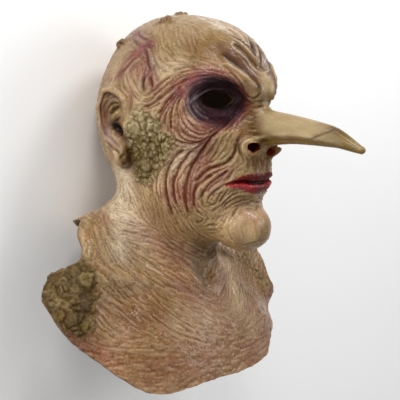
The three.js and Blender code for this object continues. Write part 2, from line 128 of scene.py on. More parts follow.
def body(x, y, z):
    ax = np.abs(x)
    t = smin(ell(x, y, z, (0, -42, -240), (205, 118, 178)), ell(x, y, z, (0, -60, -112), (150, 56.5, 96)), 40)
    t = smin(t, cap(ax, y, z, (118, -48, -70), (186, -42, -120), 33, 40), 40)
    t = smin(t, cap(ax, y, z, (0, -70, -22), (128, -58, -49), 25, 27), 34)
    f = smin(cap(x, y, z, (0, -25, 70), (0, -32, -110), 55, 57), t, 30)
    f = smin(f, chain(ax, y, z, COLLAR, 5), 14)
    return f - 3.2 * bump(ax, y, z, (27, 22, -60), (9, 22, 34)) + 5.0 * bump(x, y, z, (0, 34, -86), (13, 18, 18))


def skull(x, y, z):
    ax = np.abs(x)
    f = ell(x, y, z, (0, -3.5, 112), (86, 112, 103))
    f = smin(f, ell(x, y, z, (0, -22, 80), (74, 80, 66)), 20)
    f = smin(f, ell(x, y, z, (0, 44.5, 136), (62, 58, 60)), 24)
    f = smin(f, ell(x, y, z, (0, 36, 42), (68, 64, 86)), 30)
    f = smin(f, cap(ax, y, z, (20, 64, -16), (50, 14, 12), 16, 15), 24)
    return f + 3.6 * bump(ax, y, z, (50, -88, 150), (38, 34, 38))


def face(x, y, z, f):
    ax = np.abs(x)
    f = smin(f, ell(x, y, z, (0, 69, 40), (39, 37, 40)), 24)
    f = smin(f, ell(x, y, z, (0, 85, -24.5), (34, 28, 25)), 15)
    f = smin(f, ell(x, y, z, (0, 87, -35), (28, 21, 13.5)), 10)
    f = smin(f, cap(ax, y, z, (12, 102, 131), (52, 70, 143), 14, 10), 16)
    f = smin(f, ell(ax, y, z, (50, 58, 84), (19, 22, 15)), 22)
    f = smax(f, -ell(ax, y, z, (38, 90, 116), (27, 28, 19)), 20)
    f = smin(f, ell(ax, y, z, (25, 46, 117), (30, 30, 22)), 12)
    f = smin(f, cap(ax, y, z, (12.5, 105, 125.5), (22, 100.5, 139), 8.5, 7), 10)
    return (f + 5.5 * bump(ax, y, z, (74, 40, 140), (26, 28, 24))
            + 4.0 * bump(ax, y, z, (58, 62, 48), (28, 28, 30))
            + 3.8 * bump(x, y, z, (0, 103, 3), (26, 14, 8)))


def nose(x, y, z):
    yc = np.clip(y, 70, 235.6)
    zc, r = np.interp(yc, NOSE_X, NOSE_Z).astype(x.dtype), np.interp(yc, NOSE_X, NOSE_R).astype(x.dtype)
    sx = 0.78 + 0.22 * ss(200, 232, yc)
    f = (np.sqrt((x / sx) ** 2 + (z - zc) ** 2 + (y - yc) ** 2) - r) * 0.86
    return smin(f, ell(np.abs(x), y, z, (20, 109, 65.6), (9, 12, 9.5)), 7)


def lip_parts(x, y, z):
    ax = np.abs(x)
    near = np.exp(-((y - 98) / 26) ** 2)
    w = np.clip(1 - (ax / 43) ** 2, 0, 1)
    mid = 26.6 + 2.6 * np.exp(-((ax - 28) / 11) ** 2) - 1.3 * (1 - w)
    rise = 5.2 * w + 1.3 * np.exp(-((ax - 14) / 9) ** 2)
    up = np.exp(-((z - mid - 1 - rise) / (1.6 + 3.4 * w)) ** 2) * w ** 0.5 * 2.9 * (1 - 0.25 * np.exp(-(ax / 4) ** 2)) * near
    low = np.exp(-((z - mid + 1.2 + 6.2 * w) / (1.6 + 4.2 * w)) ** 2) * w ** 0.5 * 3.9 * near
    seam = np.exp(-((z - mid) / 1.6) ** 2) * np.clip(1 - (ax / 43) ** 6, 0, 1) * 3.2 * near
    return up, low, seam


def nostrils(x, y, z):
    ax = np.abs(x)
    f = smin(ell(ax, y, z, (15, 106, 66), (6.5, 8, 6.5)), ell(ax, y, z, (21.5, 113, 67), (7.5, 7.5, 5.2)), 2)
    return smin(f, ell(x, y, z, (-13, 110, 61), (5, 6, 5)), 2)


def ears(x, y, z):
    ax = np.abs(x)
    plate = smax(ell(ax, y, z, (84, -31, 92), (8, 17, 36)), -ell(ax, y, z, (94, -27, 99), (9, 11, 23)), 5)
    knob = smin(ell(ax, y, z, (86, -24, 56), (6.5, 9, 13)), ell(ax, y, z, (87, -13, 86), (5, 5, 9)), 3)
    return smin(smin(plate, chain(ax, y, z, EAR_RIM, 4), 5), knob, 5)


def mould(x, y, z):
    return smin(face(x, y, z, smin(skull(x, y, z), body(x, y, z), 30)), nose(x, y, z), 12)


def outside(x, y, z):
    up, low, seam = lip_parts(x, y, z)
    f = mould(x, y, z) - (up + low - seam)
    f = smin(f, ears(x, y, z), 6)
    return smax(f, -nostrils(x, y, z), 2)


def inside(x, y, z):
    f = smax(mould(x, y, z), -(y - REST_Y), 4)
    ax = np.abs(x)
    thick = WALL + 3.6 * bump(ax, y, z, (40, 70, 75), (55, 60, 75)) + 1.5 * ss(150, 200, y)
    f = f + thick
    return smax(f, 3.2 - nostrils(x, y, z), 4)


def grad(f, P, e=0.25):
    x, y, z = P.T
    v = f(x, y, z)
    g = np.stack([f(x + e, y, z) - v, f(x, y + e, z) - v, f(x, y, z + e) - v], -1) / e
    return v, g


def unit(v):
    return v / np.maximum(np.linalg.norm(v, axis=-1, keepdims=True), 1e-12)


# ---------------------------------------------------------------- smooth noise
def hashed(i, j, k, seed):
    h = (i.astype(np.int64) * 374761393 + j.astype(np.int64) * 668265263 + k.astype(np.int64) * 2147483647
         + seed * 1274126177) & 0xFFFFFFFF
    h = ((h ^ (h >> 13)) * 1274126177) & 0xFFFFFFFF
    h = ((h ^ (h >> 16)) * 2246822519) & 0xFFFFFFFF
    return ((h ^ (h >> 13)) & 0xFFFFFF) / float(0xFFFFFF) * 2 - 1


def noise(P, size, seed=0):
    q = np.asarray(P, float) / size
    i = np.floor(q).astype(np.int64)
    t = q - i
    t = t * t * (3 - 2 * t)
    out = 0
    for a in (0, 1):
        for b in (0, 1):
            for c in (0, 1):
                w = (t[:, 0] if a else 1 - t[:, 0]) * (t[:, 1] if b else 1 - t[:, 1]) * (t[:, 2] if c else 1 - t[:, 2])
                out = out + w * hashed(i[:, 0] + a, i[:, 1] + b, i[:, 2] + c, seed)
    return out


def clouds(P, size, seed=0, octaves=3):
    return sum(noise(P, size / 2 ** o, seed + 17 * o) / 2 ** o for o in range(octaves)) / 1.5


# ---------------------------------------------------------------- trimmed outline
EDGE_RIGHT = [(0, -196), (52, -196), (91, -201), (115, -199), (128, -194), (140, -185),
              (150, -176), (166, -155), (190, -134), (204, -117), (209, -100), (205, -87), (196, -78),
              (166, -63), (151, -54), (145, -43), (141, -30), (131, -20), (126, -8), (118, 30), (118, 300)]
EDGE_LEFT = [(0, -196), (52, -194), (77, -191), (90, -185), (104, -176), (122, -169), (148, -162),
             (175, -150), (189, -138), (185, -128), (177, -117), (172, -106), (170, -93), (166, -81),
             (158, -69), (149, -58), (142, -46), (137, -29), (131, -20), (126, -8), (118, 30), (118, 300)]
EDGE_BACK = [(0, -94), (30, -92), (46, -80), (54, -60), (64, -43), (80, -32), (97, -25), (110, -19), (120, -10),
             (118, 30), (118, 300)]


def rounded(edge):
    p = np.array(edge[:-1], float)
    p = np.vstack([2 * p[0] - p[1], p, 2 * p[-1] - p[-2]])
    out = []
    for i in range(1, len(p) - 2):
        for t in np.arange(4) / 4:
            a, b, c, d = p[i - 1:i + 3]
            out.append(0.5 * (2 * b + (c - a) * t + (2 * a - 5 * b + 4 * c - d) * t * t + (3 * b - a - 3 * c + d) * t ** 3))
    return np.array(out + [p[-2], edge[-1]])


def side_of(edge, a, b):
    """Signed distance to the closed outline: negative inside."""
    P = np.vstack([rounded(edge), [[-40, 300], [-40, edge[0][1]]]])
    d, ins = np.full(a.shape, 1e9), np.zeros(a.shape, bool)
    for (x1, y1), (x2, y2) in zip(P, np.roll(P, -1, 0)):
        ex, ey = x2 - x1, y2 - y1
        t = np.clip(((a - x1) * ex + (b - y1) * ey) / max(ex * ex + ey * ey, 1e-9), 0, 1)
        if not (x1 < 0 and x2 < 0) and not (y1 == 300 and y2 == 300):
            d = np.minimum(d, (a - x1 - t * ex) ** 2 + (b - y1 - t * ey) ** 2)
        c = (y1 > b) != (y2 > b)
        with np.errstate(divide="ignore", invalid="ignore"):
            ins ^= c & (a < ex * (b - y1) / (y2 - y1) + x1)
    return np.where(ins, -1, 1) * np.sqrt(d)


SHOULDER_CUT = [(150, -75), (166, -52), (176, -48.5), (188, -42), (199, -35), (212, -27), (240, -20)]


def trim(P):
    """Negative where the mask's skin is kept, at the outline."""
    x, y, z = P.T
    out = np.full(len(P), -60.0)
    low = z < 45
    x, y, z = x[low], y[low], z[low]
    ax = np.abs(x)
    fr = np.where(x > 0, side_of(EDGE_RIGHT, ax, z), side_of(EDGE_LEFT, ax, z))
    bk = side_of(EDGE_BACK, ax, z)
    # the back panel's line eases into the front one over the ridge of the shoulder
    t = ss(-60, -46, y)
    g = bk * (1 - t) + fr * t
    cx, cy = zip(*SHOULDER_CUT)
    cut = 0.85 * (np.interp(x, cx, cy) - y)
    g = np.where(x > 150, np.maximum(g, cut), g)
    g = g + 0.8 * noise(P[low], 9.0, 5) + 0.45 * noise(P[low], 3.5, 6)
    out[low] = g
    return out


EYE_AT, EYE_TURN, EYE_HALF, EYE_HIGH = (36, 75.5, 118.5), math.radians(34), 20.8, 9.6


def almond(P):
    """Positive inside the eye opening."""
    ax = np.abs(P[:, 0]) - EYE_AT[0]
    y, z = P[:, 1] - EYE_AT[1], P[:, 2] - EYE_AT[2]
    a = ax * math.cos(EYE_TURN) - y * math.sin(EYE_TURN)
    deep = ax * math.sin(EYE_TURN) + y * math.cos(EYE_TURN)
    s = np.clip(1 - (a / EYE_HALF) ** 2, 0, 1)
    g = EYE_HIGH * s ** 0.675 - np.abs(z) - np.maximum(np.abs(a) - EYE_HALF, 0) * 1.2
    return np.where(np.abs(deep) < 24, g, -20.0)


# ---------------------------------------------------------------- meshing
def lines(spans):
    out = []
    for a, b, s in spans:
        n = max(1, int(round((b - a) / s)))
        out += [a + (b - a) * i / n for i in range(n)]
    return np.array(out + [spans[-1][1]], float)


def net(f, xs, ys, zs, keep, block=8):
    """Surface net of f = 0 on a tensor grid, only in blocks near the surface that keep() asks for."""
    nx, ny, nz = len(xs), len(ys), len(zs)
    mid = lambda v, b: np.array([0.5 * (v[i] + v[min(i + block, len(v) - 1)]) for i in b])
    half = lambda v, b: np.array([0.5 * (v[min(i + block, len(v) - 1)] - v[i]) for i in b])
    bx, by, bz = (np.arange(0, n - 1, block) for n in (nx, ny, nz))
    B = np.stack(np.meshgrid(bx, by, bz, indexing="ij"), -1).reshape(-1, 3)
    C = np.stack(np.meshgrid(mid(xs, bx), mid(ys, by), mid(zs, bz), indexing="ij"), -1).reshape(-1, 3)
    H = np.stack(np.meshgrid(half(xs, bx), half(ys, by), half(zs, bz), indexing="ij"), -1).reshape(-1, 3)
    h = np.linalg.norm(H, axis=1)
    v = f(*C.T)
    on = (np.abs(v) < 1.6 * h) & (keep(C) < h * 1.3)
    B = B[on]
    # grid points of the kept blocks
    need = np.zeros((nx, ny, nz), bool)
    for i, j, k in B:
        need[i:i + block + 1, j:j + block + 1, k:k + block + 1] = True
    idx = np.flatnonzero(need)
    F = np.full(nx * ny * nz, 1e3, np.float32)
    I = np.unravel_index(idx, need.shape)
    X, Y, Z = xs[I[0]].astype(np.float32), ys[I[1]].astype(np.float32), zs[I[2]].astype(np.float32)
    for s in range(0, len(idx), 400000):
        e = s + 400000
        F[idx[s:e]] = f(X[s:e], Y[s:e], Z[s:e])
    # cells
    o = np.arange(block)
    O = np.stack(np.meshgrid(o, o, o, indexing="ij"), -1).reshape(-1, 3)
    cells = (B[:, None, :] + O[None]).reshape(-1, 3)
    cells = cells[(cells[:, 0] < nx - 1) & (cells[:, 1] < ny - 1) & (cells[:, 2] < nz - 1)]
    flat = (cells[:, 0] * ny + cells[:, 1]) * nz + cells[:, 2]
    D = [(a * ny + b) * nz + c for a in (0, 1) for b in (0, 1) for c in (0, 1)]
    neg = sum((F[flat + d] < 0).astype(np.int8) for d in D)
    m = (neg > 0) & (neg < 8)
    cells, flat = cells[m], flat[m]
    order = np.argsort(flat)
    cells, flat = cells[order], flat[order]
    V = np.stack([F[flat + d] for d in D], 1).astype(float)
    corner = np.array([(a, b, c) for a in (0, 1) for b in (0, 1) for c in (0, 1)])
    G = [xs, ys, zs]
    co = [np.stack([G[m_][cells[:, m_] + corner[q, m_]] for m_ in range(3)], -1) for q in range(8)]
    P, n = np.zeros((len(cells), 3)), np.zeros(len(cells))
    for a in range(8):
        for ax in (4, 2, 1):
            b = a | ax
            if a & ax:
                continue
            c = (V[:, a] < 0) != (V[:, b] < 0)
            t = np.where(c, V[:, a] / np.where(c, V[:, a] - V[:, b], 1), 0)
            P += np.where(c[:, None], co[a] + (co[b] - co[a]) * t[:, None], 0)
            n += c
    P /= n[:, None]
    lo, hi = co[0], co[7]
    for _ in range(4):
        v, g = grad(f, P)
        gg = np.maximum((g * g).sum(1), 0.25)
        P = np.clip(P - (0.9 * v / gg)[:, None] * g, lo, hi)
    vid = np.full(nx * ny * nz, -1, np.int32)
    vid[flat] = np.arange(len(flat))
    quads = []
    stride = (ny * nz, nz, 1)
    for a in range(3):
        b, c = (a + 1) % 3, (a + 2) % 3
        s, t = F[flat] < 0, F[flat + stride[a]] < 0
        cr = (s != t) & (cells[:, b] > 0) & (cells[:, c] > 0)
        w, sg = flat[cr], s[cr]
        q = np.stack([vid[w], vid[w - stride[b]], vid[w - stride[b] - stride[c]], vid[w - stride[c]]], 1)
        ok = (q >= 0).all(1)
        q, sg = q[ok], sg[ok]
        q[~sg] = q[~sg][:, ::-1]
        quads.append(q)
    return P, np.vstack(quads), vid.reshape(nx, ny, nz), (xs, ys, zs)


def tris_of(P, Q):
    d1 = ((P[Q[:, 0]] - P[Q[:, 2]]) ** 2).sum(1)
    d2 = ((P[Q[:, 1]] - P[Q[:, 3]]) ** 2).sum(1)
    a = d1 <= d2
    return np.vstack([Q[a][:, [0, 1, 2]], Q[a][:, [0, 2, 3]], Q[~a][:, [1, 2, 3]], Q[~a][:, [1, 3, 0]]])


def compact(P, T, extra):
    used = np.zeros(len(P), bool)
    used[T.ravel()] = True
    new = np.cumsum(used) - 1
    return P[used], new[T], [e[used] for e in extra]


def clip_mesh(P, T, g, extra, gfun, snap=0.25):
    """Keeps the part of the mesh where g < 0 and cuts the triangles that cross."""
    g = g.copy()
    near = np.abs(g) < snap
    P = P.copy()
    if near.any():
        e = 0.3
        i = np.flatnonzero(near)
        base = gfun(P[i])
        gr = np.stack([gfun(P[i] + np.eye(3)[m] * e) - base for m in range(3)], -1) / e
        gg = np.maximum((gr * gr).sum(1), 0.2)
        P[i] -= (base / gg)[:, None] * gr * 0.9
        g[i] = 0.0
    s = np.where(g < 0, -1, np.where(g > 0, 1, 0))
    st = s[T]
    has_neg, has_pos = (st < 0).any(1), (st > 0).any(1)
    whole = T[has_neg & ~has_pos]
    cut = T[has_neg & has_pos]
    edges, new_tris = {}, []
    add_p, add_x = [], [[] for _ in extra]

    def point(a, b):
        key = (a, b) if a < b else (b, a)
        if key not in edges:
            a_, b_ = key
            t = g[a_] / (g[a_] - g[b_])
            p = P[a_] + (P[b_] - P[a_]) * t
            edges[key] = len(P) + len(add_p)
            add_p.append(p)
            for q, x in zip(add_x, extra):
                q.append(x[a_] + (x[b_] - x[a_]) * t)
        return edges[key]

    for tri in cut.tolist():
        k = [int(s[v]) for v in tri]
        poly = []
        for i in range(3):
            a, b = tri[i], tri[(i + 1) % 3]
            if k[i] <= 0:
                poly.append(a)
            if k[i] * k[(i + 1) % 3] < 0:
                poly.append(point(a, b))
        for i in range(1, len(poly) - 1):
            new_tris.append((poly[0], poly[i], poly[i + 1]))
    if add_p:
        P = np.vstack([P, np.array(add_p)])
        extra = [np.concatenate([x, np.array(q)]) for x, q in zip(extra, add_x)]
    T = np.vstack([whole, np.array(new_tris, int).reshape(-1, 3)])
    return compact(P, T, extra)


def loops_of(T):
    """Boundary loops, as ordered vertex lists that follow the triangles' own direction."""
    E = np.vstack([T[:, [0, 1]], T[:, [1, 2]], T[:, [2, 0]]])
    n = T.max() + 1
    key, rev = E[:, 0].astype(np.int64) * n + E[:, 1], E[:, 1].astype(np.int64) * n + E[:, 0]
    b = E[~np.isin(key, rev)]
    nxt = {}
    for a, c in b.tolist():
        nxt.setdefault(a, []).append(c)
    loops = []
    while nxt:
        a = next(iter(nxt))
        loop = [a]
        while True:
            c = nxt[loop[-1]].pop()
            if not nxt[loop[-1]]:
                del nxt[loop[-1]]
            if c == a:
                break
            loop.append(c)
            if c not in nxt:
                break
        loops.append(loop)
    return sorted(loops, key=len, reverse=True)


def stitch(P, A, B):
    """Triangles between loop A and loop B, which both run the same way round."""
    pa, pb = P[A], P[B]
    j0 = int(((pb - pa[0]) ** 2).sum(1).argmin())
    B = B[j0:] + B[:j0]
    pb = P[B]
    A, B = A + A[:1], B + B[:1]
    pa, pb = P[A], P[B]
    i = j = 0
    out = []
    while i < len(A) - 1 or j < len(B) - 1:
        if j == len(B) - 1 or (i < len(A) - 1 and
                               ((pa[i + 1] - pb[j]) ** 2).sum() < ((pa[i] - pb[j + 1]) ** 2).sum()):
            out.append((A[i + 1], A[i], B[j]))
            i += 1
        else:
            out.append((A[i], B[j], B[j + 1]))
            j += 1
    return out


def smooth_on(T, n, v, times):
    """Averages a value over neighbouring vertices."""
    E = np.vstack([T[:, [0, 1]], T[:, [1, 2]], T[:, [2, 0]]])
    a, b = np.concatenate([E[:, 0], E[:, 1]]), np.concatenate([E[:, 1], E[:, 0]])
    deg = np.maximum(np.bincount(a, minlength=n), 1)
    for _ in range(times):
        v = 0.5 * v + 0.5 * np.bincount(a, weights=v[b], minlength=n) / deg
    return v


# ---------------------------------------------------------------- the photograph's camera
VIEW = np.array([0.78369, 0.61229, 0.10453])
RIGHT = np.array([-0.61566, 0.78801, 0.0])
UP = np.array([-0.0824, -0.0643, 0.9945])
AIM = 17.0 * RIGHT
FAR = 1400.0
PX = 1.17                        # millimetres in a picture point at the aim


def trace(px):
    """Where the lines of sight through picture points meet the form. Misses take their nearest pass."""
    px = np.asarray(px, float)
    o = AIM + VIEW * FAR
    t = AIM + ((px[:, 0:1] - 200) * PX) * RIGHT + ((200 - px[:, 1:2]) * PX) * UP
    d = unit(t - o)
    s = np.full(len(px), FAR - 330.0)
    best, at = np.full(len(px), 1e9), s.copy()
    for _ in range(110):
        p = o + d * s[:, None]
        f = outside(*p.T)
        m = f < best
        best[m], at[m] = f[m], s[m]
        s = np.where(f > 0.02, s + np.maximum(f * 0.8, 0.02), s)
        s = np.minimum(s, FAR + 400)
    p = o + d * at[:, None]
    for _ in range(3):
        v, g = grad(outside, p)
        p = p - (v / np.maximum((g * g).sum(1), 0.3))[:, None] * g
    return p, best < 1.5


def points(text):
    return np.array([[float(v) for v in q.split(",")] for q in text.split()])


def along(P, step):
    """A smooth line through the points, resampled."""
    if len(P) == 2:
        Q = P[0] + (P[1] - P[0]) * np.linspace(0, 1, 24)[:, None]
    else:
        p = np.vstack([2 * P[0] - P[1], P, 2 * P[-1] - P[-2]])
        Q = []
        for i in range(1, len(p) - 2):
            a, b, c, d = p[i - 1:i + 3]
            for t in np.arange(12) / 12:
                Q.append(0.5 * (2 * b + (c - a) * t + (2 * a - 5 * b + 4 * c - d) * t * t
                                + (3 * b - a - 3 * c + d) * t ** 3))
        Q = np.array(Q + [P[-1]])
    L = np.concatenate([[0], np.cumsum(np.linalg.norm(np.diff(Q, axis=0), axis=1))])
    n = max(3, int(L[-1] / step) + 1)
    s = np.linspace(0, L[-1], n)
    return np.stack([np.interp(s, L, Q[:, m]) for m in range(Q.shape[1])], -1)


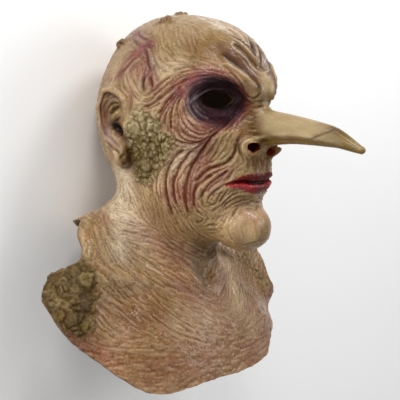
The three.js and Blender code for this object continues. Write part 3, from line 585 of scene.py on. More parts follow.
# relief lines: (kind, depth, half width, raised lip, wrinkle strength, "picture points")
# depth below zero is a raised line; kind f belongs to the far side only
FOLDS = [
    # forehead: broad furrows with sharp crests, brow roll and its curl
    ("m", -1.1, 1.3, 0.0, 0.30, "230,27 237,31 244,36.5 249,41"),
    ("m", 1.5, 1.2, 0.2, 0.30, "234,27 240,31.5 246,37 251,42.5"),
    ("m", 2.5, 1.7, 0.3, 0.30, "226,31 234,36 240,39.5 245,43 250,47 254,51 257,55 260,59"),
    ("m", -1.5, 1.3, 0.0, 0.30, "228,36 234,39.5 240,43 247,49 253,55 258,59 262,62"),
    ("m", 2.6, 2.3, 0.2, 0.30, "232,43 240,48 246,53.5 252,60 258,66.5 261,70"),
    ("m", -1.5, 1.3, 0.0, 0.30, "234,49 240,53 244,57 248,61 251,66 255,70 262,73"),
    ("m", 2.2, 5.0, 0.0, 0.30, "218,50 225,55 232,60 238,65 246,71 252,77 258,84 261,91 262,98"),
    ("m", 1.3, 3.2, 0.1, 0.30, "222,53 229,58.5 236,63.5 244,69.5 251,76 257,83 260,90"),
    ("m", -1.5, 2.2, 0.0, 0.20, "222,61 229,65.5 236,69 243,74 249,79 254,84 257,90"),
    ("m", 2.1, 1.3, 0.2, 0.15, "245,90 246,94 248,97 252,99 256,98 260,94 261,90"),
    ("m", 0.4, 1.1, 0.2, 0.16, "205,34 216,40 228,46 236,50"),
    ("m", 0.4, 1.1, 0.2, 0.16, "206,46 216,50 224,54"),
    ("m", 0.0, 1.0, 0.0, 0.20, "194,13 210,18 226,27 242,38"),
    ("m", 0.0, 1.0, 0.0, 0.16, "190,22 206,28 222,38"),
    # root of the nose
    ("m", 1.5, 1.1, 0.5, 0.20, "252,101 260,101.5 268,101 273,103"),
    ("m", 0.8, 0.9, 0.3, 0.20, "255,104 262,104 270,105"),
    ("m", 1.7, 1.2, 0.5, 0.20, "250,108 257,107 264,106 271,107"),
    ("m", 0.8, 0.9, 0.2, 0.30, "246,114 252,115 257,115"),
    ("m", 0.8, 0.9, 0.2, 0.30, "245,120 251,120 257,120"),
    ("m", 0.7, 0.9, 0.2, 0.30, "246,124.5 252,125 258,125"),
    ("m", 0.7, 0.9, 0.2, 0.25, "247,129 254,129 262,128"),
    ("m", 0.0, 1.0, 0.0, 0.12, "250,130 270,131 300,134 340,142"),
    ("m", 0.0, 1.0, 0.0, 0.12, "262,118 290,122 330,132 355,146"),
    # arcs above the eye
    ("m", 0.8, 1.1, 0.4, 0.60, "172,65 182,64 192,63 202,64 210,66 216,68"),
    ("m", 1.2, 1.1, 0.5, 0.80, "170,71 180,69 188,67 198,66.5 208,67 214,69"),
    ("m", 1.5, 1.2, 0.6, 0.95, "168,80 176,76 184,72 192,70 201,69 210,70 219,72 226,75"),
    ("m", 1.5, 1.2, 0.6, 1.00, "166,88 174,82 182,77 190,74 200,72 210,73 218,75 226,78 232,82"),
    ("m", 1.4, 1.1, 0.6, 0.90, "172,91 179,86 185,81 192,78 200,76 208,75.5 216,77 223,79 230,83 236,88"),
    ("m", 1.2, 1.0, 0.6, 0.70, "184,90 189,86 196,82 204,80 212,80 220,81.5 228,85"),
    ("m", 1.3, 1.1, 0.5, 0.55, "228,70 234,75 239,81 243,88 245,95"),
    # lids and socket
    ("m", -1.9, 1.15, 0.0, 0.40, "189,105 191,101.5 197,97.5 203,93 208,89.8 213,88.4 220,88.6 227,90.6 232,94"),
    ("m", 1.4, 1.2, 0.2, 0.40, "186,103 189,98 194,93.5 200,89 207,85.6 214,84.6 222,85.2 229,87.6 235,92"),
    ("m", 0.9, 0.9, 0.0, 0.40, "194,103 199,99.8 204,96.2 210,92.9 216,91.8"),
    ("m", 1.5, 1.0, 0.8, 0.50, "190.5,104 193,110 198,117 204,121 212,123 220,122.5 228,119.5"),
    ("m", 1.3, 0.9, 0.8, 0.50, "195,103 198,108 202,112.5 207,115 214,116 222,115"),
    ("m", 1.1, 0.8, 0.7, 0.50, "198.5,102 202,106 206,109.5"),
    ("m", 1.2, 1.0, 0.6, 0.50, "187,92 185.5,99 187,107 191,115 197,121 204,125"),
    ("m", 0.9, 0.9, 0.6, 0.50, "192,86 198,82 206,79.6 214,79 222,80.4 230,84"),
    # lines that fan out behind the eye
    ("m", 2.7, 1.5, 0.8, 1.00, "140,108 150,105 160,98 170,89 178,83 190,77"),
    ("m", 2.7, 1.5, 0.8, 1.00, "158,118 160,112 167,101 175,92 183,85"),
    ("m", 3.0, 1.6, 0.8, 1.00, "157,124 162,113 169,103 176,94 184,88"),
    ("m", 3.2, 1.7, 0.8, 1.00, "171,132 170,120 172,108 177,97 184,90"),
    ("m", 2.7, 1.5, 0.7, 1.00, "179,122 177,109 179,99 184,93"),
    ("m", 1.9, 1.4, 0.6, 0.90, "164,128 165,118 169,108 175,98"),
    ("m", 1.9, 1.4, 0.6, 0.80, "150,98 158,92 167,84 176,77"),
    ("m", 1.6, 1.4, 0.5, 0.70, "144,97 154,90 164,81 174,74"),
    ("m", 1.5, 1.3, 0.5, 0.60, "135,107 145,109 155,106 163,101"),
    ("m", 1.4, 1.3, 0.5, 0.60, "138,101 148,101 157,96"),
    # below the eye
    ("m", 1.4, 1.2, 0.7, 1.00, "183,104 184,113 188,121 195,127 203,131"),
    ("m", 1.7, 1.3, 0.8, 1.00, "179,108 181,118 186,127 193,132 201,135 209,133"),
    ("m", 1.4, 1.2, 0.7, 1.00, "175,112 178,123 184,132 192,137 201,138"),
    ("m", 1.8, 1.4, 0.8, 1.00, "172,124 176,132 182,139 190,142 199,141"),
    ("m", 2.6, 1.6, 0.9, 1.00, "160,134 172,139 182,143 192,144 201,142 209,138 216,133 222,128 229,120 235,113"),
    ("m", 1.5, 1.2, 0.6, 0.90, "205,136 212,132 219,127 226,120"),
    ("m", 1.6, 1.3, 0.7, 1.00, "150,137 160,141 170,145 181,147"),
    ("m", 1.6, 1.3, 0.7, 1.00, "190,152 196,148 204,143 211,138"),
    ("m", 1.1, 1.1, 0.5, 0.80, "216,134 223,127 230,119 236,114"),
    ("m", 1.1, 1.1, 0.5, 0.80, "222,134 230,126 237,118 243,111"),
    # cheek folds
    ("m", 4.2, 1.8, 1.3, 1.00, "221,130 214,136 209,142 205,147 200,154 195,161 191,168 188,176 186,184 184.5,192 184.5,200 186,208 188,215"),
    ("m", 3.4, 1.7, 1.1, 1.00, "196,150 190,153 185,159 180,165 177,172 174,180 173,189 173.5,197 176,204 178,208"),
    ("m", 3.4, 1.6, 1.1, 1.00, "186,149 178,154 172,161 168,168 165.5,176 165,185 166,194 168,203 171,212 173,218"),
    ("m", 1.8, 1.3, 0.8, 0.90, "164,166 158,173 156.5,181 156,188 158,196 159,202"),
    ("m", 1.3, 1.2, 0.6, 1.00, "189,151 184,158 179,164 175,170 172,175"),
    ("m", 1.2, 1.1, 0.6, 1.00, "178,176 177,184 178,191 180,198 183,204"),
    ("m", 1.3, 1.2, 0.6, 1.00, "206,153 200,160 195,168 192,176 190.5,185 190,195 190,205"),
    ("m", 1.2, 1.1, 0.6, 1.00, "201,152 195,157 191,163 188,170"),
    ("m", 1.1, 1.1, 0.5, 1.00, "183,152 176,158 171,165 168,172"),
    ("m", 1.1, 1.1, 0.5, 0.90, "161,178 160,186 161,194 163,202"),
    ("m", 3.6, 1.7, 1.2, 1.00, "235,141 236,149 234,155 230,160 225,163.5 218,166 210,169 204,173 199,178 194,183"),
    ("m", 3.2, 1.6, 1.0, 1.00, "215,174 207,178 201,183 197,187 194,192 193,199 194,205 196,210"),
    ("m", 2.8, 1.5, 0.9, 1.00, "230,169 222,175 215,180 209,185 205,190 202,195 202,200"),
    ("m", 1.4, 1.2, 0.6, 1.00, "232,165 224,169 216,172 209,175"),
    ("m", 1.6, 1.3, 0.7, 0.90, "226,175 219,181 212,186 208,191 206,196"),
    ("m", 2.0, 1.3, 0.8, 0.90, "223,186 217,190 213,193 209,197 208,201"),
    ("m", 2.0, 1.3, 0.8, 0.90, "226,189 220,195 217,201 213,204.5 208,204"),
    ("m", 1.2, 1.2, 0.4, 0.60, "221,142 218,149 214,156 208,162"),
    ("m", 1.0, 1.2, 0.4, 0.60, "228,138 226,147 221,154 213,161"),
    ("m", 0.9, 1.1, 0.4, 0.60, "215,141 211,148 206,155"),
    ("m", 0.9, 1.1, 0.4, 0.60, "232,144 230,151 225,157 217,162"),
    # wing of the nose, nose edge
    ("m", 2.4, 1.8, 0.3, 0.30, "241,136 238,142 238.5,149 241,155 245,159"),
    ("m", -1.9, 1.6, 0.0, 0.10, "249,157 244.5,153 242.5,148 244,143.5 248,140.5 254,139 260,137.5 268,135.5"),
    ("m", -1.2, 2.0, 0.0, 0.08, "268,135.5 285,135 305,137 325,141 345,146"),
    ("m", 1.5, 2.0, 0.0, 0.08, "258,143 266,141 278,140.5 300,141.5 320,145"),
    ("m", 1.3, 1.2, 0.4, 0.10, "310,139 316,136.5 324,133.5 331,130.5 337,127"),
    # mouth and chin
    ("m", 1.6, 1.3, 0.6, 0.80, "236,166 233,172 229,178 225,183"),
    ("m", 1.2, 1.2, 0.5, 0.60, "246,168 240,170 234,174 229,180"),
    ("m", 0.8, 1.0, 0.3, 0.60, "249,160 248,165 245,170"),
    ("m", 0.8, 1.0, 0.3, 0.60, "254,160 253,165 252,170"),
    ("m", 1.6, 1.8, 0.2, 0.40, "260,157 262,163 263,169"),
    ("m", 1.8, 1.3, 0.7, 0.90, "229,189 225,194 221,200 218,205"),
    ("m", 1.8, 1.3, 0.7, 0.90, "240,193 233,195 228,199 223,204 220,209"),
    ("m", 1.7, 1.3, 0.7, 0.90, "246,196 238,197 232,200 227,204 222,209"),
    ("m", 1.7, 1.3, 0.7, 0.80, "252,199 243,201 236,203 229,207 223,211"),
    ("m", 1.5, 1.3, 0.6, 0.70, "255,203 245,204 237,206 230,209"),
    ("m", 2.0, 1.4, 0.6, 0.30, "241,207 236,210 233,215 232,220"),
    ("m", 1.2, 1.4, 0.3, 0.30, "243,208 250,208 257,211 262,216"),
    ("m", 1.4, 1.2, 0.6, 0.60, "205,226 211,225 216,225 221,224"),
    ("m", 1.2, 1.1, 0.5, 0.60, "207,230 213,230 219,229"),
    ("m", 1.2, 1.1, 0.5, 0.60, "222,214 218,218 216,222"),
    ("m", 1.5, 1.2, 0.6, 0.60, "203,213 206,216 207,219 204,222"),
    ("m", 1.5, 1.2, 0.6, 0.60, "196,209 199,213 203,214"),
    ("m", 0.3, 1.0, 0.2, 0.25, "238,221 237,229 239,236"),
    ("m", 0.3, 1.0, 0.2, 0.25, "246,220 246,228 247,236"),
    ("m", 0.3, 1.0, 0.2, 0.25, "254,220 255,228 254,236"),
    ("m", 0.9, 1.1, 0.3, 0.35, "229,222 228,230 231,238 237,243"),
    ("m", 0.9, 1.1, 0.4, 0.35, "236,243 244,245 252,243 260,240"),
    # jaw and neck
    ("m", 0.9, 1.0, 0.3, 0.55, "141,203 143,208 146,214 149,219"),
    ("m", 0.9, 1.0, 0.3, 0.55, "152,201 153,209 155,217 156,223"),
    ("m", 0.9, 1.0, 0.3, 0.55, "160,203 162,212 164,222 166,230"),
    ("m", 1.1, 1.0, 0.3, 0.55, "165,205 168,211 171,217 175,223"),
    ("m", 1.2, 1.1, 0.4, 0.60, "174,221 178,226 182,231 188,236"),
    ("m", 1.2, 1.1, 0.4, 0.60, "180,219 184,224 188,229 194,235"),
    ("m", 1.2, 1.1, 0.4, 0.60, "186,219 190,225 195,231 202,237"),
    ("m", 0.8, 1.0, 0.3, 0.50, "132,196 136,206 142,216 150,226"),
    ("m", 1.0, 1.0, 0.4, 0.60, "119,217 128,221 140,225 152,228 162,233"),
    ("m", 1.0, 1.0, 0.4, 0.60, "119,223 129,227 140,230 150,233"),
    ("m", 1.0, 1.0, 0.4, 0.60, "119,229 130,232 145,236 160,241 172,247"),
    ("m", 1.0, 1.0, 0.4, 0.60, "118,236 128,239 142,242 156,244 166,249"),
    ("m", 1.1, 1.0, 0.4, 0.60, "120,240 128,247 138,254 150,262 160,268"),
    ("m", 1.1, 1.0, 0.4, 0.60, "128,256 138,261 148,267 160,274 172,280"),
    ("m", 1.2, 1.0, 0.4, 0.60, "126,257 132,263 138,269 145,276"),
    ("m", 1.2, 1.0, 0.4, 0.60, "104,231 106,240 108,247 113,256 118,262"),
    ("m", 1.2, 1.0, 0.4, 0.60, "112,247 116,255 122,263 130,270 138,277"),
    ("m", 1.1, 1.0, 0.4, 0.60, "98,222 101,233 104,244 109,256 116,266"),
    ("m", 1.2, 1.0, 0.4, 0.60, "104,209 104,218 107,228 110,237"),
    ("m", 1.0, 1.0, 0.4, 0.60, "92,218 94,230 97,242 102,254"),
    ("m", 1.0, 1.0, 0.4, 0.60, "160,247 168,251 178,257 188,262"),
    ("m", 1.0, 1.0, 0.4, 0.60, "168,240 178,247 190,254 202,260"),
    ("m", 1.0, 1.0, 0.4, 0.60, "180,240 192,247 204,253 216,257"),
    ("m", 0.9, 1.0, 0.4, 0.60, "156,262 166,266 178,268 190,273"),
    # chest
    ("m", 1.2, 1.0, 0.5, 0.60, "102,271 108,280 115,288 123,296 130,301"),
    ("m", 1.2, 1.0, 0.5, 0.60, "108,275 116,284 124,292 131,299 140,306"),
    ("m", 1.1, 1.0, 0.5, 0.60, "119,276 126,285 133,292 141,300"),
    ("m", 1.1, 1.0, 0.5, 0.60, "99,284 107,292 116,299 126,306"),
    ("m", 1.1, 1.0, 0.5, 0.60, "131,272 139,280 146,287 155,295"),
    ("m", 1.1, 1.0, 0.5, 0.60, "141,270 148,277 157,283 168,290"),
    ("m", 1.1, 1.0, 0.5, 0.60, "112,303 121,310 130,318 140,325"),
    ("m", 1.1, 1.0, 0.5, 0.60, "98,311 105,319 112,327 120,333"),
    ("m", 1.0, 1.0, 0.5, 0.60, "98,320 106,328 115,335"),
    ("m", 0.9, 1.0, 0.4, 0.55, "150,262 168,276 186,288 206,300"),
    ("m", 0.7, 1.5, 0.2, 0.55, "160,282 172,287 186,291 198,297 210,301 222,305"),
    ("m", 1.0, 1.1, 0.4, 0.55, "156,300 170,312 184,322 200,330"),
    ("m", 1.0, 1.1, 0.4, 0.55, "150,314 166,326 182,335 200,340"),
    ("m", 0.8, 1.0, 0.3, 0.50, "92,342 110,347 130,348 150,348"),
    ("m", 0.0, 1.0, 0.0, 0.50, "90,350 120,354 150,355 180,354 210,352"),
    ("m", 0.0, 1.0, 0.0, 0.50, "110,364 140,366 170,364 200,358"),
    ("m", 0.0, 1.0, 0.0, 0.45, "126,378 150,382 180,378 205,368"),
    ("f", 0.9, 1.2, 0.4, 0.50, "226,262 230,280 236,300 240,312"),
    ("f", 0.9, 1.1, 0.4, 0.50, "238,262 240,278 244,294 250,306"),
    ("f", 0.0, 1.0, 0.0, 0.45, "212,310 226,316 238,318"),
    ("f", 0.8, 1.1, 0.4, 0.50, "242,334 250,328 260,320 268,312"),
    ("f", 1.0, 1.1, 0.4, 0.50, "240,349 248,346 256,342 266,336"),
    ("f", 0.9, 1.1, 0.4, 0.50, "236,366 248,358 258,352 267,344"),
    ("f", 0.0, 1.0, 0.0, 0.45, "205,366 222,362 240,356"),
    # scalp: short wavy hair lines, the branching scar, the deep pit
    ("m", 0.9, 1.0, 0.4, 0.45, "166,50 170,56 176,61 185,63"),
    ("m", 0.9, 1.0, 0.4, 0.45, "158,54 162,60 168,65 176,66"),
    ("m", 0.8, 1.0, 0.4, 0.45, "152,58 157,64 163,70 170,72"),
    ("m", 0.5, 1.0, 0.3, 0.26, "180,26 178,34 181,42 185,50"),
    ("m", 0.5, 1.0, 0.3, 0.22, "190,24 191,34 193,44 198,54"),
    ("m", 0.6, 1.0, 0.3, 0.40, "170,26 169,36 172,46 178,54"),
    ("m", 0.0, 1.0, 0.0, 0.38, "160,26 159,36 160,46 164,54"),
    ("m", 0.0, 1.0, 0.0, 0.16, "200,24 204,36 210,48 216,58"),
    ("m", 0.0, 1.0, 0.0, 0.30, "112,74 118,62 126,52 134,46"),
    ("m", 0.0, 1.0, 0.0, 0.30, "104,90 108,80 114,72"),
    ("m", 1.0, 1.2, 0.4, 0.50, "131,70 134,82 140,92 150,98"),
    ("m", 0.9, 1.1, 0.4, 0.50, "126,74 130,88 136,98 146,104"),
    ("m", 0.8, 1.1, 0.4, 0.45, "136,68 138,78 140,86"),
    ("m", 0.8, 1.1, 0.4, 0.45, "154,66 156,76 161,84 168,88"),
    ("m", 3.4, 2.0, 1.0, 0.30, "146,76 143,80 142,85 144,91"),
    ("m", 2.6, 1.6, 0.9, 0.30, "150,76 151,82 152,89"),
    ("m", -1.8, 1.8, 0.0, 0.30, "148,74 147,80 147.5,87"),
    ("m", 1.4, 1.6, 0.9, 0.35, "145,48 147,56 148,64 150,72"),
    ("m", -1.6, 1.8, 0.0, 0.30, "149,48 151,56 153,64 154,74"),
    ("m", 1.2, 1.5, 0.9, 0.30, "142,56 134,59 128,66 122,73"),
    ("m", -1.5, 1.8, 0.0, 0.30, "144,59 137,62 131,68 125,76"),
    ("m", -1.6, 2.0, 0.0, 0.25, "135,36 139,40 144,43 149,44"),
    ("m", 1.2, 1.4, 0.5, 0.25, "137,32 140,36 145,39 151,40"),
    ("m", 1.2, 1.4, 0.5, 0.25, "132,38 136,43 141,47 146,49"),
    # ear: hollow under the rim, inner rolls, canal, twisted lobe
    ("m", 5.0, 2.8, 0.8, 0.20, "120,100.5 117,97.8 112,95.3 106,94.8 103,98 101.8,103 101.5,109 102,117 103,125 104.5,133 106,140"),
    ("m", 3.4, 1.7, 0.8, 0.20, "121,104 116,103 110,105 106.8,110 105.3,118 106,128"),
    ("m", -1.6, 1.4, 0.0, 0.20, "119,101.5 113,98.7 107,99.3 104,104 103,112 103.4,121 105,130"),
    ("m", 4.4, 2.5, 0.5, 0.20, "120.5,105.5 116,107.5 112.5,111 110,116.5"),
    ("m", -3.0, 2.5, 0.0, 0.20, "119.5,111.5 115.5,114.5 112.5,119"),
    ("m", 3.2, 1.7, 0.4, 0.20, "120.5,117 117,119.5 113.5,123"),
    ("m", 6.0, 3.6, 0.0, 0.20, "112,124 115,125.5 117,128.5 120,132 123,138"),
    ("m", -2.0, 2.0, 0.0, 0.20, "112,132 114,137 118,141 120,146"),
    ("m", -1.8, 2.0, 0.0, 0.20, "121,95.5 124,99 126,104 126,110"),
    ("m", 1.6, 1.5, 0.4, 0.30, "128,92 131,99 131,108 129,116"),
    ("m", 2.4, 1.4, 0.7, 0.20, "105,140 109,145 114,149 118,153 117,159"),
    ("m", -2.0, 1.6, 0.0, 0.20, "110,141 114,145.5 117,151"),
    ("m", 2.8, 1.3, 0.9, 0.20, "119,162 120,158 124,155.5 128,156 130,159.5 128,163 124,163.5"),
    ("m", 2.4, 1.4, 0.8, 0.20, "120,168 125,168.5 130,166 132.5,161"),
    ("m", 2.2, 1.5, 0.5, 0.20, "131,146 131,153 133,159"),
    # wavy skin between the ear and the crust
    ("m", 1.0, 1.0, 0.5, 0.60, "133,104 138,106 142,104 147,108"),
    ("m", 1.0, 1.0, 0.5, 0.60, "133,110 138,112 143,110 149,113 155,111"),
]

# default directions where the photograph shows nothing: from, to, wrinkle strength
FLOW = [
    ((30, -80, 190), (60, -95, 150), 0.26), ((60, -95, 150), (70, -85, 90), 0.28), ((10, -112, 150), (12, -108, 70), 0.26),
    ((0, -60, 208), (0, -100, 175), 0.26), ((76, -60, 40), (60, -84, -10), 0.50), ((60, -70, 40), (48, -88, -5), 0.50),
    ((25, -95, 40), (22, -96, -10), 0.50), ((40, -100, -30), (60, -112, -70), 0.55), ((10, -104, -20), (12, -116, -80), 0.50),
    ((90, -92, -40), (110, -104, -70), 0.50), ((120, -40, -22), (128, -40, -60), 0.50), ((150, -60, -60), (160, -70, -80), 0.50),
]


def lap(text):
    print("[mask]", text, round(time.time() - T0, 1), "s", flush=True)


# ---------------------------------------------------------------- outer skin
fine = 1.0
GX = lines([(-216, -96, 2.1 * fine), (-96, 96, STEP * fine), (96, 216, 2.1 * fine)])
GY = lines([(-122, -62, 2.3 * fine), (-62, 132, STEP * fine), (132, 243, 1.9 * fine)])
GZ = lines([(-212, -60, 1.7 * fine), (-60, 190, STEP * fine), (190, 219, 1.9 * fine)])


def rough_trim(C):
    x, y, z = C.T
    ax = np.abs(x)
    fr = np.where(x > 0, side_of(EDGE_RIGHT, ax, z), side_of(EDGE_LEFT, ax, z))
    bk = side_of(EDGE_BACK, ax, z)
    g = np.where(y > -38, fr, np.where(y < -68, bk, np.minimum(fr, bk)))
    return np.where(z > 45, -60.0, g)


P, QUADS, VID, AXES = net(outside, GX, GY, GZ, lambda C: rough_trim(C) - 4)
N_V = len(P)
_, g_ = grad(outside, P, 0.2)
N = unit(g_)
T = tris_of(P, QUADS)
X_, Y_, Z_ = P.T
AX = np.abs(X_)
lap(f"skin {N_V} vertices {len(T)} triangles")

# ---------------------------------------------------------------- relief lines on the form
LINES = []                      # (points, tangents, depth, width, lip, amp, side, seed)
drawn = [along(points(row[5]), 0.8) for row in FOLDS]
met, seen = trace(np.vstack(drawn))
stop = np.cumsum([len(d) for d in drawn])
for number, (row, end, d) in enumerate(zip(FOLDS, stop, drawn)):
    kind, depth, width, lip, amp, _ = row
    p, ok = met[end - len(d):end], seen[end - len(d):end]
    p = p[ok]
    if kind == "m":
        p = p[p[:, 0] > -0.5]
    if len(p) < 3:
        continue
    cuts = np.flatnonzero(np.linalg.norm(np.diff(p, axis=0), axis=1) > 9) + 1
    for part in np.split(p, cuts):
        if len(part) < 3:
            continue
        tan = unit(np.gradient(part, axis=0))
        LINES.append((part, tan, depth, width, lip, amp, 1.0, number))
        if kind == "m":
            flip_x = np.array([-1, 1, 1])
            LINES.append((part * flip_x, tan * flip_x, depth, width, lip, amp, -1.0, number))
for a, b, amp in FLOW:
    a, b = np.array(a, float), np.array(b, float)
    p = a + (b - a) * np.linspace(0, 1, 16)[:, None]
    for _ in range(4):
        v, g = grad(outside, p)
        p = p - (v / np.maximum((g * g).sum(1), 0.3))[:, None] * g
    for m in (1, -1):
        q = p * np.array([m, 1, 1])
        LINES.append((q, unit(np.gradient(q, axis=0)), 0.0, 1.0, 0.0, amp, m, 0))
lap(f"{len(LINES)} lines")


def nearest(pts, lim):
    """Vertices within lim of a line: their numbers, distance, and nearest point's number."""
    lo, hi = pts.min(0) - lim, pts.max(0) + lim
    i = np.flatnonzero(((P > lo) & (P < hi)).all(1))
    if not len(i):
        return i, np.zeros(0), np.zeros(0, int)
    best, at = np.full(len(i), 1e9), np.zeros(len(i), int)
    for s in range(0, len(pts), 64):
        q = pts[s:s + 64]
        d = ((P[i][:, None, :] - q[None]) ** 2).sum(-1)
        k = d.argmin(1)
        v = d[np.arange(len(i)), k]
        m = v < best
        best[m], at[m] = v[m], k[m] + s
    m = best < lim * lim
    return i[m], np.sqrt(best[m]), at[m]


groove, lip_up, raised, busy = (np.zeros(N_V) for _ in range(4))
for pts, tan, depth, width, lip, amp, side, number in LINES:
    if depth == 0:
        continue
    i, d, at = nearest(pts, width * 5.0)
    if not len(i):
        continue
    s = at / max(len(pts) - 1, 1)
    length = len(pts) * 0.94
    e = min(0.34, 7.0 / length) if width < 4 else 0.34
    # a fold thins out toward its ends and swells and fades along its way
    way = np.stack([at * 0.94 / 9.0, np.full(len(at), number * 3.7), np.full(len(at), side * 0.0)], 1)
    taper = ss(0, e, s) * ss(0, e, 1 - s) * (1 + 0.30 * noise(way, 1.0, 71))
    lean = math.sin(number * 2.4)
    over = np.sign(((P[i] - pts[at]) * np.cross(N[i], tan[at])).sum(1)) * side
    if depth > 0:
        cut = 0.62 * np.exp(-(d / (0.85 * width)) ** 2) + 0.38 * np.exp(-d / (1.5 * width))
        groove[i] = np.maximum(groove[i], depth * taper * cut)
        rise = lip * taper * (1 + 0.6 * lean * over)
        lip_up[i] = np.maximum(lip_up[i], rise * np.exp(-((d - 2.2 * width) / (1.2 * width)) ** 2))
    else:
        raised[i] = np.maximum(raised[i], -depth * taper * np.exp(-(d / width) ** 2))
    busy[i] = np.maximum(busy[i], taper * np.exp(-(d / (1.5 * width)) ** 2))
lap("folds")

# ---------------------------------------------------------------- direction of the wrinkles
gp = np.vstack([l[0][::2] for l in LINES])
gt = np.vstack([l[1][::2] for l in LINES])
ga = np.concatenate([np.full(len(l[0][::2]), l[5]) for l in LINES])
W6 = np.stack([gt[:, 0] ** 2, gt[:, 1] ** 2, gt[:, 2] ** 2, gt[:, 0] * gt[:, 1], gt[:, 0] * gt[:, 2],
               gt[:, 1] * gt[:, 2], ga, np.ones(len(ga))], -1)
CELL = 6.0
lo = P.min(0) - CELL
dim = np.ceil((P.max(0) - lo) / CELL).astype(int) + 2
fi = (P - lo) / CELL
ii = np.floor(fi).astype(int)
ft = fi - ii
key = []
for a in (0, 1):
    for b in (0, 1):
        for c in (0, 1):
            key.append(((ii[:, 0] + a) * dim[1] + ii[:, 1] + b) * dim[2] + ii[:, 2] + c)
nodes, inv = np.unique(np.concatenate(key), return_inverse=True)
npos = np.stack(np.unravel_index(nodes, dim), -1) * CELL + lo
field = np.zeros((len(nodes), 8))
for s in range(0, len(nodes), 2000):
    q = npos[s:s + 2000]
    d2 = (q ** 2).sum(1)[:, None] + (gp ** 2).sum(1)[None] - 2 * q @ gp.T
    w = 1.0 / (np.maximum(d2, 0) + 10.0) ** 2
    field[s:s + 2000] = w @ W6
field /= field[:, 7:8]
inv = inv.reshape(8, N_V)
F8 = np.zeros((N_V, 8))
q = 0
for a in (0, 1):
    for b in (0, 1):
        for c in (0, 1):
            w = (ft[:, 0] if a else 1 - ft[:, 0]) * (ft[:, 1] if b else 1 - ft[:, 1]) * (ft[:, 2] if c else 1 - ft[:, 2])
            F8 += w[:, None] * field[inv[q]]
            q += 1
AMP = F8[:, 6]
up_ = np.where(np.abs(N[:, 2:3]) < 0.9, np.array([[0, 0, 1.0]]), np.array([[0, 1.0, 0]]))
E1 = unit(np.cross(N, up_))
E2 = np.cross(N, E1)


def quadform(a, b):
    return (F8[:, 0] * a[:, 0] * b[:, 0] + F8[:, 1] * a[:, 1] * b[:, 1] + F8[:, 2] * a[:, 2] * b[:, 2]
            + F8[:, 3] * (a[:, 0] * b[:, 1] + a[:, 1] * b[:, 0]) + F8[:, 4] * (a[:, 0] * b[:, 2] + a[:, 2] * b[:, 0])
            + F8[:, 5] * (a[:, 1] * b[:, 2] + a[:, 2] * b[:, 1]))


ang = 0.5 * np.arctan2(2 * quadform(E1, E2), quadform(E1, E1) - quadform(E2, E2))
wander = 0.22 + 0.35 * ss(0.45, 0.2, AMP)
ang = ang + wander * noise(P, 16.0, 41)
DIR = np.cos(ang)[:, None] * E1 + np.sin(ang)[:, None] * E2
lap("directions")


def streaks(values, reach, step):
    """Averages values along the wrinkle direction over the surface."""
    n = max(1, int(reach / step))
    acc = [v.copy() for v in values]
    for sign in (1, -1):
        p, cur = P.copy(), np.arange(N_V)
        d = DIR * sign
        for k in range(1, n + 1):
            p = p + d * step
            c = [np.clip(np.searchsorted(AXES[m], p[:, m], side="right") - 1, 0, len(AXES[m]) - 2) for m in range(3)]
            v = VID[c[0], c[1], c[2]]
            cur = np.where(v >= 0, v, cur)
            p = p - ((p - P[cur]) * N[cur]).sum(1, keepdims=True) * N[cur]
            nd = DIR[cur]
            nd = nd * np.where((nd * d).sum(1, keepdims=True) < 0, -1.0, 1.0)
            d = nd
            w = 0.5 + 0.5 * math.cos(math.pi * k / (n + 1))
            for a, val in zip(acc, values):
                a += w * val[cur]
    out = []
    for a in acc:
        a = a - a.mean()
        out.append(a / max(a.std(), 1e-9))
    return out


coarse_n = noise(P, 4.4, 101) + 0.3 * noise(P, 9.0, 102)
mid_n = noise(P, 2.6, 103)
fine_n = hashed(np.arange(N_V), np.arange(N_V) * 0, np.arange(N_V) * 0, 9)
L1, L2 = streaks([coarse_n, mid_n], 16.0, 1.6)
(L3,) = streaks([fine_n], 8.0, 1.3)
lap("streaks")

# ---------------------------------------------------------------- places
up, low, seam = lip_parts(X_, Y_, Z_)
lipm = np.clip(np.maximum(up / 2.9, low / 3.9) * 1.15 + seam / 2.2, 0, 1)
lipm = ss(0.26, 0.52, lipm + 0.10 * noise(P, 3.0, 78)) * (Y_ > 60)
nosem = ss(106, 128, Y_ + 5 * noise(P, 12.0, 79)) * (Z_ > 50)
nose_root = ss(84, 112, Y_) * ss(62, 74, Z_) * (1 - ss(104, 112, Z_)) * (1 - ss(20, 30, AX))
nostril = np.exp(-np.clip(nostrils(X_, Y_, Z_), 0, 99) / 1.0)
nostril_shade_w = np.exp(-np.clip(nostrils(X_, Y_, Z_), 0, 99) / 3.0) * (Z_ < 72)
# picture position of each vertex, and of its mirrored twin on the far side
TWIN = np.stack([AX, Y_, Z_], 1)
proj_k = FAR / (FAR - (TWIN - AIM) @ VIEW)
PX_M = 200 + ((TWIN - AIM) @ RIGHT) * proj_k / PX
PY_M = 200 - ((TWIN - AIM) @ UP) * proj_k / PX
FACING = (N * np.stack([np.sign(X_ + 1e-9), np.ones(N_V), np.ones(N_V)], 1)) @ VIEW


